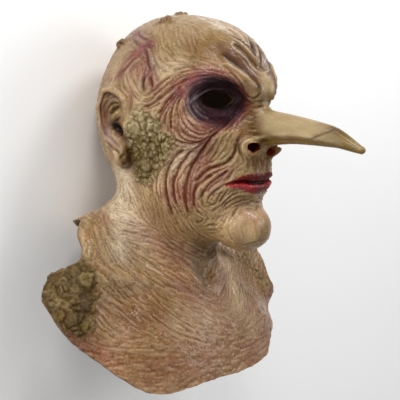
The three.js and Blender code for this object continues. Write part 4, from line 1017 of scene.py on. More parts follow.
def patch(text, soft, wobble=2.0, seed=5, size=9.0):
    """Soft-edged area inside a closed picture outline, on both sides."""
    q = points(text)
    d, ins = np.full(N_V, 1e9), np.zeros(N_V, bool)
    lo_, hi_ = q.min(0) - 4 * soft - 4, q.max(0) + 4 * soft + 4
    i = np.flatnonzero((PX_M > lo_[0]) & (PX_M < hi_[0]) & (PY_M > lo_[1]) & (PY_M < hi_[1]) & (FACING > -0.15))
    a, b = PX_M[i], PY_M[i]
    dd, inside_ = np.full(len(i), 1e9), np.zeros(len(i), bool)
    for (x1, y1), (x2, y2) in zip(q, np.roll(q, -1, 0)):
        ex, ey = x2 - x1, y2 - y1
        t = np.clip(((a - x1) * ex + (b - y1) * ey) / max(ex * ex + ey * ey, 1e-9), 0, 1)
        dd = np.minimum(dd, (a - x1 - t * ex) ** 2 + (b - y1 - t * ey) ** 2)
        c = (y1 > b) != (y2 > b)
        with np.errstate(divide="ignore", invalid="ignore"):
            inside_ ^= c & (a < ex * (b - y1) / (y2 - y1) + x1)
    g = np.where(inside_, 1, -1) * np.sqrt(dd) + wobble * noise(TWIN[i], size, seed)
    w = np.zeros(N_V)
    w[i] = ss(-soft, soft, g) * ss(-0.1, 0.15, FACING[i])
    return w


# ---------------------------------------------------------------- strokes: soft areas around picture lines
TRACED = {}


def trace_all(texts):
    """One pass of sight lines for many strokes."""
    texts = [t for t in dict.fromkeys(texts) if t not in TRACED]
    q = [along(points(t), 1.5) if " " in t else points(t) for t in texts]
    p, ok = trace(np.vstack(q))
    end = 0
    for t, a in zip(texts, q):
        TRACED[t] = (p[end:end + len(a)], ok[end:end + len(a)])
        end += len(a)


def area(text, radius, far=False, mirror=True, wobble=0.3, seed=3):
    w = np.zeros(N_V)
    if text not in TRACED:
        trace_all([text])
    p, hit = TRACED[text]
    p = p[hit] if hit.any() else p
    both = [p] if (far or not mirror) else [p, p[p[:, 0] > -1] * np.array([-1, 1, 1])]
    for pts in both:
        if not len(pts):
            continue
        i, d, at = nearest(pts, radius * 2.4)
        if len(i):
            d = d * (1 + wobble * clouds(P[i], max(radius * 1.1, 5.0), seed))
            w[i] = np.maximum(w[i], np.exp(-(d / radius) ** 2))
    return w


# ---------------------------------------------------------------- crusts: blocks with cracks between, and rosettes
ear_crust = patch("131,113 136,107 145,110 152,111 157,117 160,124 163,131 169,136 174,143 171,151 169,159 164,167 158,175 "
                  "150,183 141,184 135,178 133,168 131,158 131,149 128,141 125,133 123,125 126,118", 3.5, 3.0, 11, 8.0)
bib_crust = patch("84,257 92,263 97,270 98,280 97,290 103,297 98,306 93,314 96,324 96,335 86,341 76,337 64,331 50,321 "
                  "38,308 34,292 41,277 52,267 64,260 76,256", 4.5, 4.0, 12, 10.0)
far_crust = area("240,253 245,259 250,266 256,274 261,281 265,287", 12.0, far=True, wobble=0.5)
bib_crust = np.where(X_ > 0, bib_crust, ss(0.30, 0.62, far_crust))
crust_all = np.maximum(ear_crust, bib_crust)


def blocks(mask, gap, seed, high, squash=0.55):
    """Irregular tilted blocks parted by cracks."""
    r = np.random.default_rng(seed)
    i = np.flatnonzero(mask > 0.02)
    pool = i[r.permutation(len(i))]
    kept = np.zeros((0, 3))
    rad = np.zeros(0)
    for c in pool[:5000]:
        q = gap * (0.55 + 1.0 * r.random() ** 1.6)
        if len(kept) and (np.linalg.norm(kept - P[c], axis=1) < 0.62 * (rad + q)).any():
            continue
        kept, rad = np.vstack([kept, P[c]]), np.append(rad, q)
    p = P[i] + 0.38 * gap * np.stack([noise(P[i], gap * 0.75, seed + k) for k in (1, 2, 3)], 1)
    f1, f2, who = np.full(len(i), 1e9), np.full(len(i), 1e9), np.zeros(len(i), int)
    stretch = unit(r.normal(size=(len(kept), 3)))
    for k in range(len(kept)):
        near = np.flatnonzero((np.abs(p - kept[k]) < 4.5 * gap).all(1))
        if not len(near):
            continue
        d = p[near] - kept[k]
        d = d - squash * (d @ stretch[k])[:, None] * stretch[k]
        d = np.linalg.norm(d, axis=1) / rad[k]
        new = d < f1[near]
        f2[near] = np.where(new, f1[near], np.minimum(f2[near], d))
        who[near] = np.where(new, k, who[near])
        f1[near] = np.minimum(f1[near], d)
    gap_w = np.clip(f2 - f1, 0, 2)
    tilt = r.normal(size=(len(kept), 3)) * 0.34
    base = 0.15 + 0.85 * r.random(len(kept))
    rise = base[who] + np.clip(((P[i] - kept[who]) * tilt[who]).sum(1) / gap, -0.6, 0.6)
    dome = np.clip(1 - (f1 / 1.25) ** 2, 0, 1) ** 0.7
    v = high * np.clip(0.35 + 0.75 * rise, 0.1, 1.5) * (0.35 + 0.65 * dome) * ss(0.0, 0.50, gap_w)
    out, crack = np.zeros(N_V), np.zeros(N_V)
    out[i] = v
    crack[i] = 1 - ss(0.02, 0.26, gap_w)
    return out, crack


big1, crack1 = blocks(crust_all, 6.8, 31, 2.3)
big2, crack2 = blocks(crust_all, 3.4, 47, 0.55)
rosette = np.zeros(N_V)
rosette_dark = np.zeros(N_V)
ROSES = (("86,279", 9.5, 4.4), ("74,289", 7.0, 3.2), ("62,305", 9.0, 4.0), ("88,328", 10.0, 4.2), ("51,293", 8.0, 2.8),
         ("58,316", 8.0, 2.8), ("76,270", 6.5, 2.6), ("85,304", 6.5, 2.4), ("63,281", 6.5, 2.4), ("72,318", 7.0, 2.2),
         ("145,165", 6.5, 2.6), ("135,126", 7.0, 2.0), ("164,149", 6.0, 2.0))
trace_all([t for t, _, _ in ROSES])
for k, (text, rad, high) in enumerate(ROSES):
    p, _ = TRACED[text]
    for m in (1, -1):
        c = p[0] * np.array([m, 1, 1])
        i = np.flatnonzero((np.abs(P - c) < rad * 1.7).all(1))
        d = P[i] - c
        a1 = (d * E1[i]).sum(1)
        a2 = (d * E2[i]).sum(1)
        turn = np.arctan2(a2, a1)
        rr_ = np.linalg.norm(d, axis=1) / rad
        rr_ = rr_ * (1 + 0.20 * noise(P[i], rad * 0.55, 300 + k) + 0.07 * np.sin(turn * (3 + k % 3) + k))
        dome = np.exp(-rr_ ** 4)
        pit = np.exp(-((rr_ - 0.05) / 0.30) ** 2)
        rib = 0.16 * np.sin(turn * (7 + k % 4) + 3 * rr_) * ss(0.15, 0.45, rr_) * (1 - ss(0.8, 1.1, rr_))
        ring = 0.22 * np.sin(rr_ * 12.0 + k)
        v = high * (0.85 * dome + rib * dome + 0.6 * ring * dome - 0.42 * pit)
        edge = np.exp(-((rr_ - 1.12) / 0.14) ** 2)
        rosette[i] = np.where(np.abs(v) > np.abs(rosette[i]), v, rosette[i])
        rosette_dark[i] = np.maximum(rosette_dark[i], np.maximum(0.60 * edge, 0.62 * pit))
in_rose = ss(0.3, 1.2, np.abs(rosette))
CRACKS = ("146,117 145,124 146,131 148,138", "145,120 150,118 156,120.5", "157,118 160,124 159,130", "150,130 154,133 158,136",
          "139,160 142,157 147,157.5 152,161 153,167 149,172 143,172 139,167", "133,146 138,149 142,155", "154,142 158,149 157,156",
          "134,120 139,124 141,131", "164,140 160,146 162,154", "138,136 144,142 152,142", "150,150 147,155", "134,172 141,177 149,178",
          "78,266 84,272 92,272", "66,276 72,283 68,292", "80,296 88,292 95,298", "56,288 60,297 70,299", "70,308 78,312 88,312",
          "84,318 79,326 84,335", "60,308 66,314 64,322")
trace_all(list(CRACKS))
cracks = np.zeros(N_V)
for t in CRACKS:
    cracks = np.maximum(cracks, area(t, 1.5, wobble=0.5))
crust_relief = (1 - 0.75 * in_rose) * (big1 + big2 - 0.6 * crack1 - 0.2 * crack2) + rosette + 0.25 * big2 \
    + 0.35 * clouds(P, 2.8, 36) - 0.9 - 2.0 * cracks
crust_relief = np.where((X_ < 0) & (Z_ < 0), 0.75 * crust_relief, crust_relief)
crust_dark = np.clip(np.maximum(np.maximum(0.32 * crack1 * (1 - 0.8 * in_rose), 0.15 * crack2),
                                np.maximum(0.8 * rosette_dark, 1.1 * cracks)), 0, 1)
lap("crusts")

# scalp warts: picture point, radius, height
warts = np.zeros(N_V)
for text, rad, high in (("121,45", 5.0, 4.6), ("124,42", 3.4, 4.0), ("128,40", 2.6, 1.6), ("164,21", 4.4, 3.8),
                        ("168,19", 4.0, 3.8), ("172,22", 3.0, 2.0), ("159,23", 3.0, 1.6), ("178,14", 3.2, 3.0),
                        ("181,12", 3.0, 3.4), ("104,82", 2.8, 1.2)):
    p, _ = trace(points(text))
    for m in (1, -1):
        c = p[0] * np.array([m, 1, 1])
        if m < 0:
            c = c + np.array([4.0, -9.0, 0.0]) * (1 if c[2] < 205 else 0)
        i = np.flatnonzero((np.abs(P - c) < rad * 1.8).all(1))
        d = np.linalg.norm(P[i] - c, axis=1) / rad * (1 + 0.40 * noise(P[i], 2.4, 61))
        warts[i] = np.maximum(warts[i], 1.25 * high * (m > 0 or 0.8) * np.exp(-d ** 3 * 1.1))

# ---------------------------------------------------------------- total relief
amp = np.clip(AMP, 0, 1.1)
chin_m = ss(8, -4, Z_) * ss(58, 76, Y_) * (1 - ss(30, 44, AX)) * ss(-52, -44, Z_)
region = (0.30 + 1.35 * amp ** 1.3) * (1 - 0.62 * chin_m)
calm = (1 - 0.70 * np.clip(busy, 0, 1)) * (1 - 0.92 * crust_all) * (1 - lipm) * (1 - 0.93 * nosem) * (1 - np.clip(nostril, 0, 1))
line1 = -np.exp(-(L1 / 0.34) ** 2) + 0.35 * np.tanh(np.abs(L1)) - 0.1
line2 = -np.exp(-(L2 / 0.42) ** 2) + 0.3 * np.tanh(np.abs(L2)) - 0.05
wr = calm * region * (0.62 * line1 + 0.52 * line2) + 0.13 * L3 * (0.35 + amp) * (1 - 0.7 * crust_all) * (1 - 0.8 * nosem)
fold = (raised + lip_up * (1 - np.clip(groove, 0, 1)) - groove) * (1 - 0.85 * lipm) * (1 - 0.85 * ear_crust)
lip_lines = -0.75 * np.abs(np.sin(AX * 1.15 + 1.2 * noise(P, 5.0, 77))) ** 3 * lipm
swell = 0.6 * clouds(P, 26.0, 51) * (1 - nosem) * (1 - lipm)
relief = wr + fold + lip_lines + swell + crust_all * crust_relief + warts
relief = np.where(nostril > 0.5, relief * 0.15, relief)
# the skin never comes nearer the inside than this
room = inside(X_, Y_, Z_)
relief = np.maximum(relief, -np.maximum(room - 1.1, 0.0))
P2 = P + N * relief[:, None]
P2[:, 1] = np.maximum(P2[:, 1], REST_Y)
cavity = relief - smooth_on(T, N_V, relief, 12)
# how open each place is to its surroundings
open_ = sum(np.clip(outside(X_ + N[:, 0] * h, Y_ + N[:, 1] * h, Z_ + N[:, 2] * h) / h, 0, 1) for h in (7.0, 15.0, 30.0)) / 3
lap("relief")


# ---------------------------------------------------------------- paint
def lin(r, g, b, k=1.0):
    c = np.array([r, g, b], float) / 255 * k
    return np.where(c <= 0.04045, c / 12.92, ((c + 0.055) / 1.055) ** 2.4)


def mix(a, b, w):
    w = np.clip(w, 0, 1)[:, None]
    return a * (1 - w) + b * w


TONE = dict(
    tan=lin(176, 148, 106), cream=lin(208, 184, 142), olive=lin(144, 122, 74), chest=lin(150, 116, 84),
    warm=lin(164, 110, 80), pink=lin(156, 100, 94), rose=lin(136, 78, 80), bruise=lin(108, 58, 66),
    socket=lin(26, 16, 18), lid_black_and_shade=lin(12, 8, 8), brown=lin(72, 42, 26), umber=lin(98, 66, 42), moss=lin(112, 92, 48),
    shade=lin(96, 74, 44), lip=lin(150, 42, 44), lip_dark=lin(74, 24, 20), lip_pale=lin(190, 88, 94),
    painted_highlight=lin(240, 226, 196), deep=lin(66, 42, 20), scar=lin(102, 50, 58), red=lin(112, 56, 58), bone=lin(196, 174, 124), bone_shade=lin(120, 90, 48), amber=lin(134, 102, 60), crust=lin(128, 112, 76),
    crust_dark=lin(40, 30, 16), crust_pale=lin(176, 162, 122), raw=lin(114, 92, 64),
)

# (tone, strength, radius in mm, picture line) on both sides unless the fifth entry says far
STROKES = [
    ("olive", 0.55, 24, "175,42 200,50 215,36"), ("olive", 0.30, 20, "160,30 190,24"),
    ("umber", 0.34, 20, "206,50 220,44 236,42"), ("umber", 0.60, 10, "232,54 244,60 254,74"),
    ("cream", 0.70, 9, "158,62 166,72 178,62"), ("cream", 0.45, 12, "118,66 112,84"), ("cream", 0.45, 10, "128,74 138,98"),
    ("cream", 0.35, 12, "150,112 140,104"),
    ("warm", 0.50, 18, "180,124 200,142 196,170"), ("rose", 0.48, 13, "193,172 187,188 190,204"), ("warm", 0.50, 12, "182,180 190,200"),
    ("pink", 0.55, 8, "196,138 206,148 196,160 188,178"), ("pink", 0.50, 15, "190,158 182,176 180,200"), ("red", 0.55, 7, "206,146 200,156 194,168 191,184 190,198"), ("red", 0.32, 7, "184,160 178,172 177,188 180,204"), ("red", 0.28, 6, "170,160 165,176 166,196 171,212"), ("red", 0.40, 5, "184,134 172,128 160,124"), ("red", 0.40, 4, "176,92 168,104 164,116"), ("red", 0.40, 4, "168,84 156,96 146,104"),
    ("pink", 0.55, 6, "206,160 212,166 224,176 230,168"), ("pink", 0.50, 6, "222,178 214,186 208,192"),
    ("pink", 0.40, 6, "167,186 168,200 173,212"), ("rose", 0.45, 4, "196,150 206,141 216,133 224,126"),
    ("olive", 0.55, 9, "214,152 224,158 228,148"), ("olive", 0.60, 7, "204,200 208,206"), ("olive", 0.40, 8, "176,206 182,214"),
    ("olive", 0.55, 12, "196,222 206,230 190,218"), ("moss", 0.50, 9, "196,216 204,224"),
    # painted highlights: the strokes on this line lighten the left edge of the jaw and neck and the lit parts of the
    # cheek
    ("painted_highlight", 1.00, 18, "121,180 120,210 121,248"), ("painted_highlight", 0.50, 14, "130,226 142,236"), ("painted_highlight", 0.90, 12, "126,178 128,190"), ("cream", 0.55, 16, "140,214 146,232"), ("cream", 0.55, 10, "174,156 168,172"), ("cream", 0.55, 8, "160,180 162,170"), ("painted_highlight", 0.55, 8, "176,164 182,156 190,152"),
    ("cream", 0.45, 8, "190,166 184,180"), ("cream", 0.40, 10, "142,186 148,204"),
    ("cream", 0.30, 12, "234,224 248,228"), ("pink", 0.30, 9, "246,214 254,218"), ("shade", 0.60, 9, "266,226 262,240"),
    ("shade", 0.35, 8, "232,242 248,246"),
    ("warm", 0.32, 24, "150,232 175,262"), ("pink", 0.30, 9, "140,232 156,238"), ("pink", 0.35, 10, "165,250 185,262"),
    # painted shade under the chin: the deep and brown strokes along the jaw's underside, with darker paint and the
    # shade strokes
    ("umber", 0.20, 14, "176,240 192,252"), ("shade", 0.35, 10, "196,236 206,244 216,250"), ("deep", 0.92, 9, "211,249 217,251.5 226,254"),
    ("shade", 0.50, 12, "204,250 216,252 226,250"), ("deep", 0.78, 8, "257,157 262,165 267,171"), ("brown", 0.35, 9, "214,252 226,254 238,256"),
    ("shade", 0.45, 16, "200,262 216,270 226,276"),
    ("pink", 0.32, 12, "176,282 200,294"), ("rose", 0.28, 3.2, "172,286 186,291 198,297"),
    ("cream", 0.35, 18, "178,318 202,318"), ("umber", 0.40, 20, "225,330 235,346 215,342"),
    # painted highlight: the first far-side cream stroke lightens the far collarbone
    ("olive", 0.35, 14, "244,288 252,292"), ("cream", 0.65, 15, "228,268 236,298", "far"), ("cream", 0.40, 14, "252,318 254,332", "far"),
    ("pink", 0.45, 6, "252,302 247,312", "far"), ("rose", 0.60, 3.2, "242,349 256,342", "far"),
    ("red", 0.35, 15, "150,368 185,362 212,368"), ("rose", 0.45, 11, "72,338 86,346 104,354"), ("warm", 0.35, 16, "92,350 120,362"),
    ("umber", 0.45, 14, "134,322 152,316 162,308"), ("umber", 0.30, 12, "120,300 132,312"),
    ("rose", 0.40, 4.5, "105,212 106,222 111,234"), ("pink", 0.35, 6, "100,214 112,222"),
    ("olive", 0.40, 14, "104,276 118,292"), ("umber", 0.30, 8, "100,256 106,270"), ("olive", 0.30, 12, "100,330 112,344"),
    # scar that branches over the temple
    ("scar", 0.40, 13, "136,34 146,46 140,60 128,70"), ("scar", 0.30, 10, "148,58 152,78"), ("scar", 0.85, 8.0, "134,32 140,38 149,44"), ("scar", 0.85, 6.0, "146,47 148,58 147,68 146,76"),
    ("scar", 0.85, 7.0, "142,50 133,56 127,65 119,76"), ("scar", 0.60, 5.5, "152,66 154,78 157,90"),
    ("pink", 0.45, 8.0, "140,48 132,66 150,82"), ("rose", 0.55, 3.6, "103,80 101,88"), ("rose", 0.55, 5.0, "104,74 110,80"),
    # around the ear
    ("rose", 0.45, 5.0, "130,90 134,96"), ("warm", 0.40, 6.0, "126,96 130,106"), ("rose", 0.40, 6.0, "106,128 110,138 116,144"),
    ("cream", 0.50, 3.0, "120,97 124,104 124,112"), ("cream", 0.60, 2.6, "114,152 116,157"),
    # around the eye
    ("pink", 0.75, 8, "176,86 188,77 204,71 222,73 236,84 246,98 248,110 240,120"),
    ("rose", 0.70, 5.5, "172,100 178,90 188,81 198,76 212,74"), ("rose", 0.55, 6, "166,100 176,90"),
    ("rose", 0.60, 4.0, "184,122 196,130 210,131"), ("pink", 0.55, 6, "224,126 234,118 242,110"),
    ("rose", 0.60, 3.4, "216,131 226,123 234,115 240,108"), ("rose", 0.70, 5.0, "246,98 248,108 244,116"),
    # nose root, upper lip
    ("warm", 0.55, 8, "246,110 248,126 246,136"), ("umber", 0.65, 6, "243,120 242,132 240,142"),
    ("umber", 0.40, 8, "250,116 258,122"), ("umber", 0.50, 4.5, "261,160 262,168"), ("umber", 0.35, 8, "238,150 240,162"),
    ("olive", 0.40, 6, "250,163 246,170"), ("umber", 0.30, 10, "262,92 268,98"), ("olive", 0.40, 6, "266,86 270,94"),
]
PALE_SCALP = "150,20 175,12 200,12 220,20 240,34 225,34 200,24 170,24"

c1, c2, c3 = clouds(P, 34.0, 201), clouds(P, 15.0, 202), clouds(P, 6.0, 203)
col = np.tile(TONE["tan"], (N_V, 1))
col = mix(col, TONE["chest"], ss(-50, -120, Z_) * ss(-60, -20, Y_) * 0.95)
col = mix(col, TONE["olive"], 0.40 * ss(-0.1, 0.9, c1))
col = mix(col, TONE["cream"], 0.30 * ss(0.1, 0.9, -c1))
col = mix(col, TONE["warm"], 0.25 * ss(0.0, 0.9, c2))
trace_all([s[3] for s in STROKES])
for s in STROKES:
    col = mix(col, TONE[s[0]], s[1] * area(s[3], s[2], far=len(s) > 4))
lap("strokes")

nose_tone = mix(np.tile(TONE["bone"], (N_V, 1)), lin(168, 142, 92), ss(-0.2, 0.7, c1))
# painted highlights: near-white streaks on the wrinkle ridges at the crown
col = mix(col, lin(236, 228, 214), 0.50 * patch("196,18 206,13 220,17 234,25 246,36 252,46 240,42 226,32 210,26", 5.0, 3.0, 61, 9.0) * ss(0.25, 1.1, L3 * 0.6 + L1))
# painted shade: the underside of the nose, found from where the surface faces down, is darkened
under = ss(0.05, -0.45, N[:, 2] + 0.12 * c2)
nose_tone = mix(nose_tone, TONE["bone_shade"], 0.70 * under)
nose_tone = mix(nose_tone, TONE["amber"], 0.35 * ss(0.35, 0.9, N[:, 2] + 0.2 * c2) * ss(120, 150, Y_))
col = mix(col, nose_tone * np.array([0.82, 0.87, 0.88]), np.maximum(nosem, 0.55 * nose_root))
col = mix(col, lin(86, 58, 38), 0.90 * np.maximum(area("251,112 254,122 254,132", 10.0), 0.6 * area("262,106 268,110", 7.0)))
col = mix(col, lin(164, 136, 102), 0.40 * area("270,114 290,118 310,124 330,131", 10.0))
# painted highlight along the raised lower edge of the nose
col = mix(col, TONE["cream"], 0.55 * area("280,134 296,133 312,137", 4.0))
col = mix(col, lin(70, 52, 28), 0.90 * area("334,129 342,133 348,138", 9.0))
col = mix(col, lin(128, 106, 60), 0.75 * area("346,142 354,146 362,151", 9.0))
col = mix(col, lin(60, 36, 18), 0.90 * area("311,139 318,136 326,133 333,130 338,127", 1.3, wobble=0.2))
col = mix(col, lin(90, 74, 60), 0.45 * area("318,124 326,124 334,126", 4.0))
# painted highlight along the rim of the nostril wing; below it, painted shade under the edge of the nose
col = mix(col, lin(208, 186, 138), 0.85 * area("247,153 243.5,149 243.5,145 247,141.5 254,139.5 262,137.5", 2.0, wobble=0.1))
col = mix(col, TONE["bone_shade"] * 0.75, 0.60 * area("262,143 272,142 284,143 296,143", 3.5, wobble=0.1))
col = mix(col, TONE["bone_shade"] * 0.8, 0.60 * area("268,156 276,150 284,146", 5.5))

col = mix(col, lin(88, 60, 40), 0.72 * patch("254,157 264,156 269,162 268,171 258,172 252,171", 3.0, 1.5, 62, 6.0))
col = mix(col, lin(150, 120, 66), 0.50 * area("258,154 264,150 268,154", 9.0))
col = mix(col, lin(128, 100, 74), 0.55 * patch("186,34 200,38 216,38 230,46 240,56 236,66 224,60 208,58 192,56 180,46", 6.0, 3.0, 63, 12.0))

# lips
lip_mid = 26.6 + 2.6 * np.exp(-((AX - 28) / 11) ** 2) - 1.3 * np.clip((AX / 43) ** 2, 0, 1)
lip_tone = mix(np.tile(TONE["lip"], (N_V, 1)), TONE["lip_dark"], 0.80 * ss(-0.5, 1.5, Z_ - lip_mid) + 0.30 * ss(0, 0.9, c2))
lip_tone = mix(lip_tone, TONE["lip_pale"], 0.65 * ss(12, 24, AX) * ss(0.0, -2.0, Z_ - lip_mid))
lip_tone = mix(lip_tone, TONE["lip_dark"], 0.75 * ss(18, 6, AX))
lip_tone = lip_tone * np.array([1.0, 0.72, 0.78]) * (1 - 0.35 * np.abs(np.sin(AX * 1.15 + 1.2 * noise(P, 5.0, 77))) ** 3)[:, None]
col = mix(col, lip_tone, 0.97 * lipm)

# crusts
near_ear = Z_ > 20
upper = ss(70, 95, Z_)[:, None]
crust_tone = np.where(near_ear[:, None], lin(128, 112, 66) * (1 - upper) + lin(178, 162, 116) * upper, lin(74, 62, 40))
crust_high = np.where(near_ear[:, None], lin(204, 190, 150), lin(122, 108, 74))
crust_tone = mix(crust_tone, crust_high, ss(0.4, 2.6, crust_relief + 0.6 * c3))
crust_tone = mix(crust_tone, np.tile(lin(134, 104, 70), (N_V, 1)), 0.50 * ss(0, 0.8, c2) * near_ear)
crust_tone = mix(crust_tone, np.tile(lin(104, 98, 52), (N_V, 1)),
                 0.70 * np.maximum(area("137,151 136,160 140,167", 8.0), 0.6 * ss(0.2, 0.8, c1 + 0.4 * c3)) * (1 - 0.4 * (X_ < 0)))
crust_tone = mix(crust_tone, np.tile(lin(96, 82, 52), (N_V, 1)), 0.55 * area("148,142 152,152 150,162", 7.0))
crust_tone = mix(crust_tone, np.tile(lin(150, 122, 84), (N_V, 1)), 0.65 * ((X_ < 0) & (Z_ < 0)))
deep = np.clip(crust_dark + 0.40 * ss(0.2, -1.1, crust_relief), 0, 1)
crust_tone = mix(crust_tone, np.where(near_ear[:, None], lin(58, 44, 26), lin(52, 40, 24)), (0.60 - 0.05 * (X_ > 0) * (Z_ < 20)) * deep)
col = mix(col, crust_tone, 0.94 * crust_all)
col = mix(col, lin(50, 38, 26), 0.50 * area("83,296 84,306 80,318 76,326", 7.0, mirror=False) * bib_crust)
col = mix(col, lin(78, 44, 36), 0.92 * ss(0.3, 1.4, warts))
col = mix(col, lin(46, 26, 22), 0.7 * ss(0.8, 2.6, warts) * ss(-0.1, 0.5, c3))

# brown wash in the hollows and dark fold bottoms, which also stand in for their shade; light dry brush on the ridges,
# which is also a painted highlight
hol = ss(0.05, 0.85, -cavity / (0.30 + 0.45 * amp))
hollow_wash_and_shade = mix(np.tile(TONE["brown"], (N_V, 1)), lin(84, 42, 34), ss(0.2, 0.8, amp) * ss(-0.3, 0.6, c1))
col = mix(col, col * 0.45 + 0.55 * hollow_wash_and_shade, hol * (0.55 + 0.40 * ss(0.2, 0.9, amp)) * (1 - 0.8 * crust_all) * (1 - 0.8 * nosem))
core = ss(0.7, 2.6, groove) * (1 - lipm) * (1 - 0.7 * nosem)
wine = ss(120, 150, PX_M) * ss(236, 200, PX_M) * ss(70, 80, PY_M) * ss(215, 195, PY_M)
col = mix(col, col * 0.25 + 0.75 * mix(np.tile(lin(52, 30, 18), (N_V, 1)), lin(56, 28, 26), wine), 0.88 * core)
soft_red = ss(0.25, 1.6, groove + 0.35 * lip_up) * wine * (1 - ear_crust)
col = mix(col, lin(122, 76, 68), 0.38 * soft_red)
rid = ss(0.1, 0.9, cavity / (0.25 + 0.5 * amp))
col = mix(col, col * 0.5 + 0.5 * TONE["cream"], rid * 0.55 * (1 - lipm) * (1 - 0.6 * nosem) * (1 - 0.5 * ear_crust) * (1 - 0.88 * bib_crust * (X_ > 0)))
# fine dark lines laid along the wrinkles
fine_dark = np.exp(-(L2 / 0.38) ** 2) * (0.17 + 0.30 * amp) * (1 - nosem) * (1 - crust_all) * (1 - lipm)
col = col * (1 - fine_dark[:, None] * np.array([0.80, 1.0, 1.18]))

# painted sheen: a pale lavender reflection over the far side of the forehead
col = mix(col, lin(122, 112, 120), 0.42 * area("256,48 265,60 271,76", 8.0))
# hollows painted last: furrows, ear, socket, eye, mouth line, nostrils
furrow = area("228,54 236,60 244,66 251,73 256,80 260,88", 6.5, wobble=0.15)
col = mix(col, lin(78, 54, 42), 0.85 * furrow)
col = mix(col, lin(40, 25, 19), 0.85 * area("224,55 233,61 240,66.5 247,72.5 253,79 258,86", 3.2, wobble=0.15))
col = mix(col, lin(96, 72, 58), 0.72 * area("220,47 228,51 236,56 244,62 250,68 256,75", 6.5, wobble=0.15))
col = mix(col, lin(72, 50, 36), 0.82 * area("238,45 247,54 254,61 260,68", 5.0, wobble=0.15))
col = mix(col, lin(46, 30, 24), 0.85 * area("241,40 249,47 254,53 257,57", 3.0, wobble=0.1))
col = mix(col, lin(52, 34, 22), 0.70 * area("246,60 249,62", 2.4) + 0.70 * area("256,66 259,71", 2.6))
col = mix(col, lin(44, 30, 24), 0.75 * area("236,37.5 240,39.5 245,43 250,47 254,51 257,55", 1.6, wobble=0.1))
# painted highlights: pale lines along the forehead crests and the top edge of the brow roll
col = mix(col, lin(214, 190, 160), 0.80 * area("234,39.5 240,43 247,49 253,55 258,59 262,62", 1.2, wobble=0.1))
col = mix(col, lin(214, 190, 160), 0.75 * area("236,50 240,53 244,57 248,61 251,66 255,70 262,73", 1.2, wobble=0.1))
col = mix(col, lin(196, 170, 132), 0.70 * area("231,66 238,69.5 245,74 250,79 255,85", 2.2, wobble=0.1))
col = mix(col, lin(70, 44, 28), 0.80 * area("248,96 252,98.5 256,98 260,94", 1.8, wobble=0.1))
ear_deep = area("119,99.5 113,96.5 108,95.5 104,98 101.8,103 101.5,111 102,119 103,126 104.5,133", 4.0, wobble=0.15)
col = mix(col, lin(104, 58, 60), 0.90 * ear_deep)
col = mix(col, lin(128, 80, 72), 0.70 * area("109,100 105.5,105 104.5,112 104.5,120 106,127", 1.9, wobble=0.1))
col = mix(col, lin(110, 70, 58), 0.78 * area("112,102 109,105 107.5,111 107.5,119 109.5,126", 1.7, wobble=0.1))
col = mix(col, lin(58, 36, 24), 0.85 * np.maximum(area("121,104 116,102.6 111,104.5", 1.8), area("120.5,105.5 116,107.5 112.5,111 110,116", 2.6)))
col = mix(col, lin(176, 146, 98), 0.75 * area("119.5,111.5 115.5,114.5 112.5,119", 2.4, wobble=0.1))
col = mix(col, lin(176, 146, 108), 0.70 * area("118,100.8 113,99.3 109,101.5", 1.6, wobble=0.1))
col = mix(col, lin(54, 34, 26), 0.80 * area("120.5,117 117,119.5 113.5,123", 2.0))
col = mix(col, TONE["cream"], 0.20 * area("119,97 109,96 102,104 100,118 104,132 111,144", 9.0, wobble=0.1))
col = mix(col, lin(20, 12, 14), 0.97 * area("112,124 115,125.5 117,128.5 120,132", 5.6, wobble=0.2))
col = mix(col, lin(24, 14, 14), 0.92 * area("116,124 119,126 121,130", 3.6, wobble=0.2))
col = mix(col, lin(70, 36, 34), 0.85 * area("121,133 124,138", 3.6))
col = mix(col, lin(160, 134, 128), 0.70 * area("105,131 108,137 113,142", 4.2))
col = mix(col, lin(62, 46, 24), 0.75 * patch("119,152 124,146 130,147 132,155 133,166 128,171 121,169 117,160", 2.5, 1.5, 21, 4.0))
col = mix(col, lin(150, 128, 92), 0.60 * np.maximum(area("118,150 122,156", 1.6), area("119,162 122,167 127,165", 1.4)))
col = mix(col, lin(46, 22, 26), 0.85 * area("145,77 142.5,82 143.5,90", 2.4, wobble=0.2))
col = mix(col, lin(74, 32, 32), 0.75 * area("150,77 151,83 152,89", 2.0, wobble=0.2))

ring = patch("181,88 187,80 196,74 208,72 221,73 232,79 240,87 246,97 247,108 241,118 233,126 223,130 211,130 199,126 190,119 "
             "184,109 180,98", 4.5, 2.5, 51, 9.0)
col = mix(col, TONE["bruise"] * np.array([0.92, 0.92, 1.04]) * (1 + 0.30 * np.tanh(L1))[:, None], 0.72 * ring)
pit = patch("187,93 193,85 202,79 212,76 224,77 234,82 242,90 246,99 245,109 239,117 230,123 219,127 208,125 198,120 191,113 186,104",
            4.0, 2.0, 52, 8.0)
violet = lin(46, 28, 34)
col = mix(col, violet * (1.30 + 0.55 * np.tanh(L1))[:, None], 0.97 * pit)
col = mix(col, lin(34, 30, 38), 0.60 * area("193,92 191,101 193,111", 5.0))
col = mix(col, lin(70, 30, 28), 0.55 * np.maximum(area("208,122 216,124 224,122", 5.0), area("242,88 244,96 243,104", 5.0)))
lids = patch("188,97 194,95 200,99 206,106 203,113 196,111 190,105", 2.2, 1.0, 53, 5.0)
col = mix(col, lin(78, 62, 64) * (1 + 0.35 * np.sign(L1) * np.abs(np.tanh(L1)))[:, None], 0.40 * lids)
for t in ("190,103 195,98.5 201,94 207,90.3 214,88.6 221,88.8", "193.5,106 197,111.5 202,115.5 208,118", "188,98 187.5,104 190,111 195,117.5",
          "197,105 200.5,109 205,112"):
    col = mix(col, lin(150, 130, 132), 0.62 * area(t, 1.05, wobble=0.2))
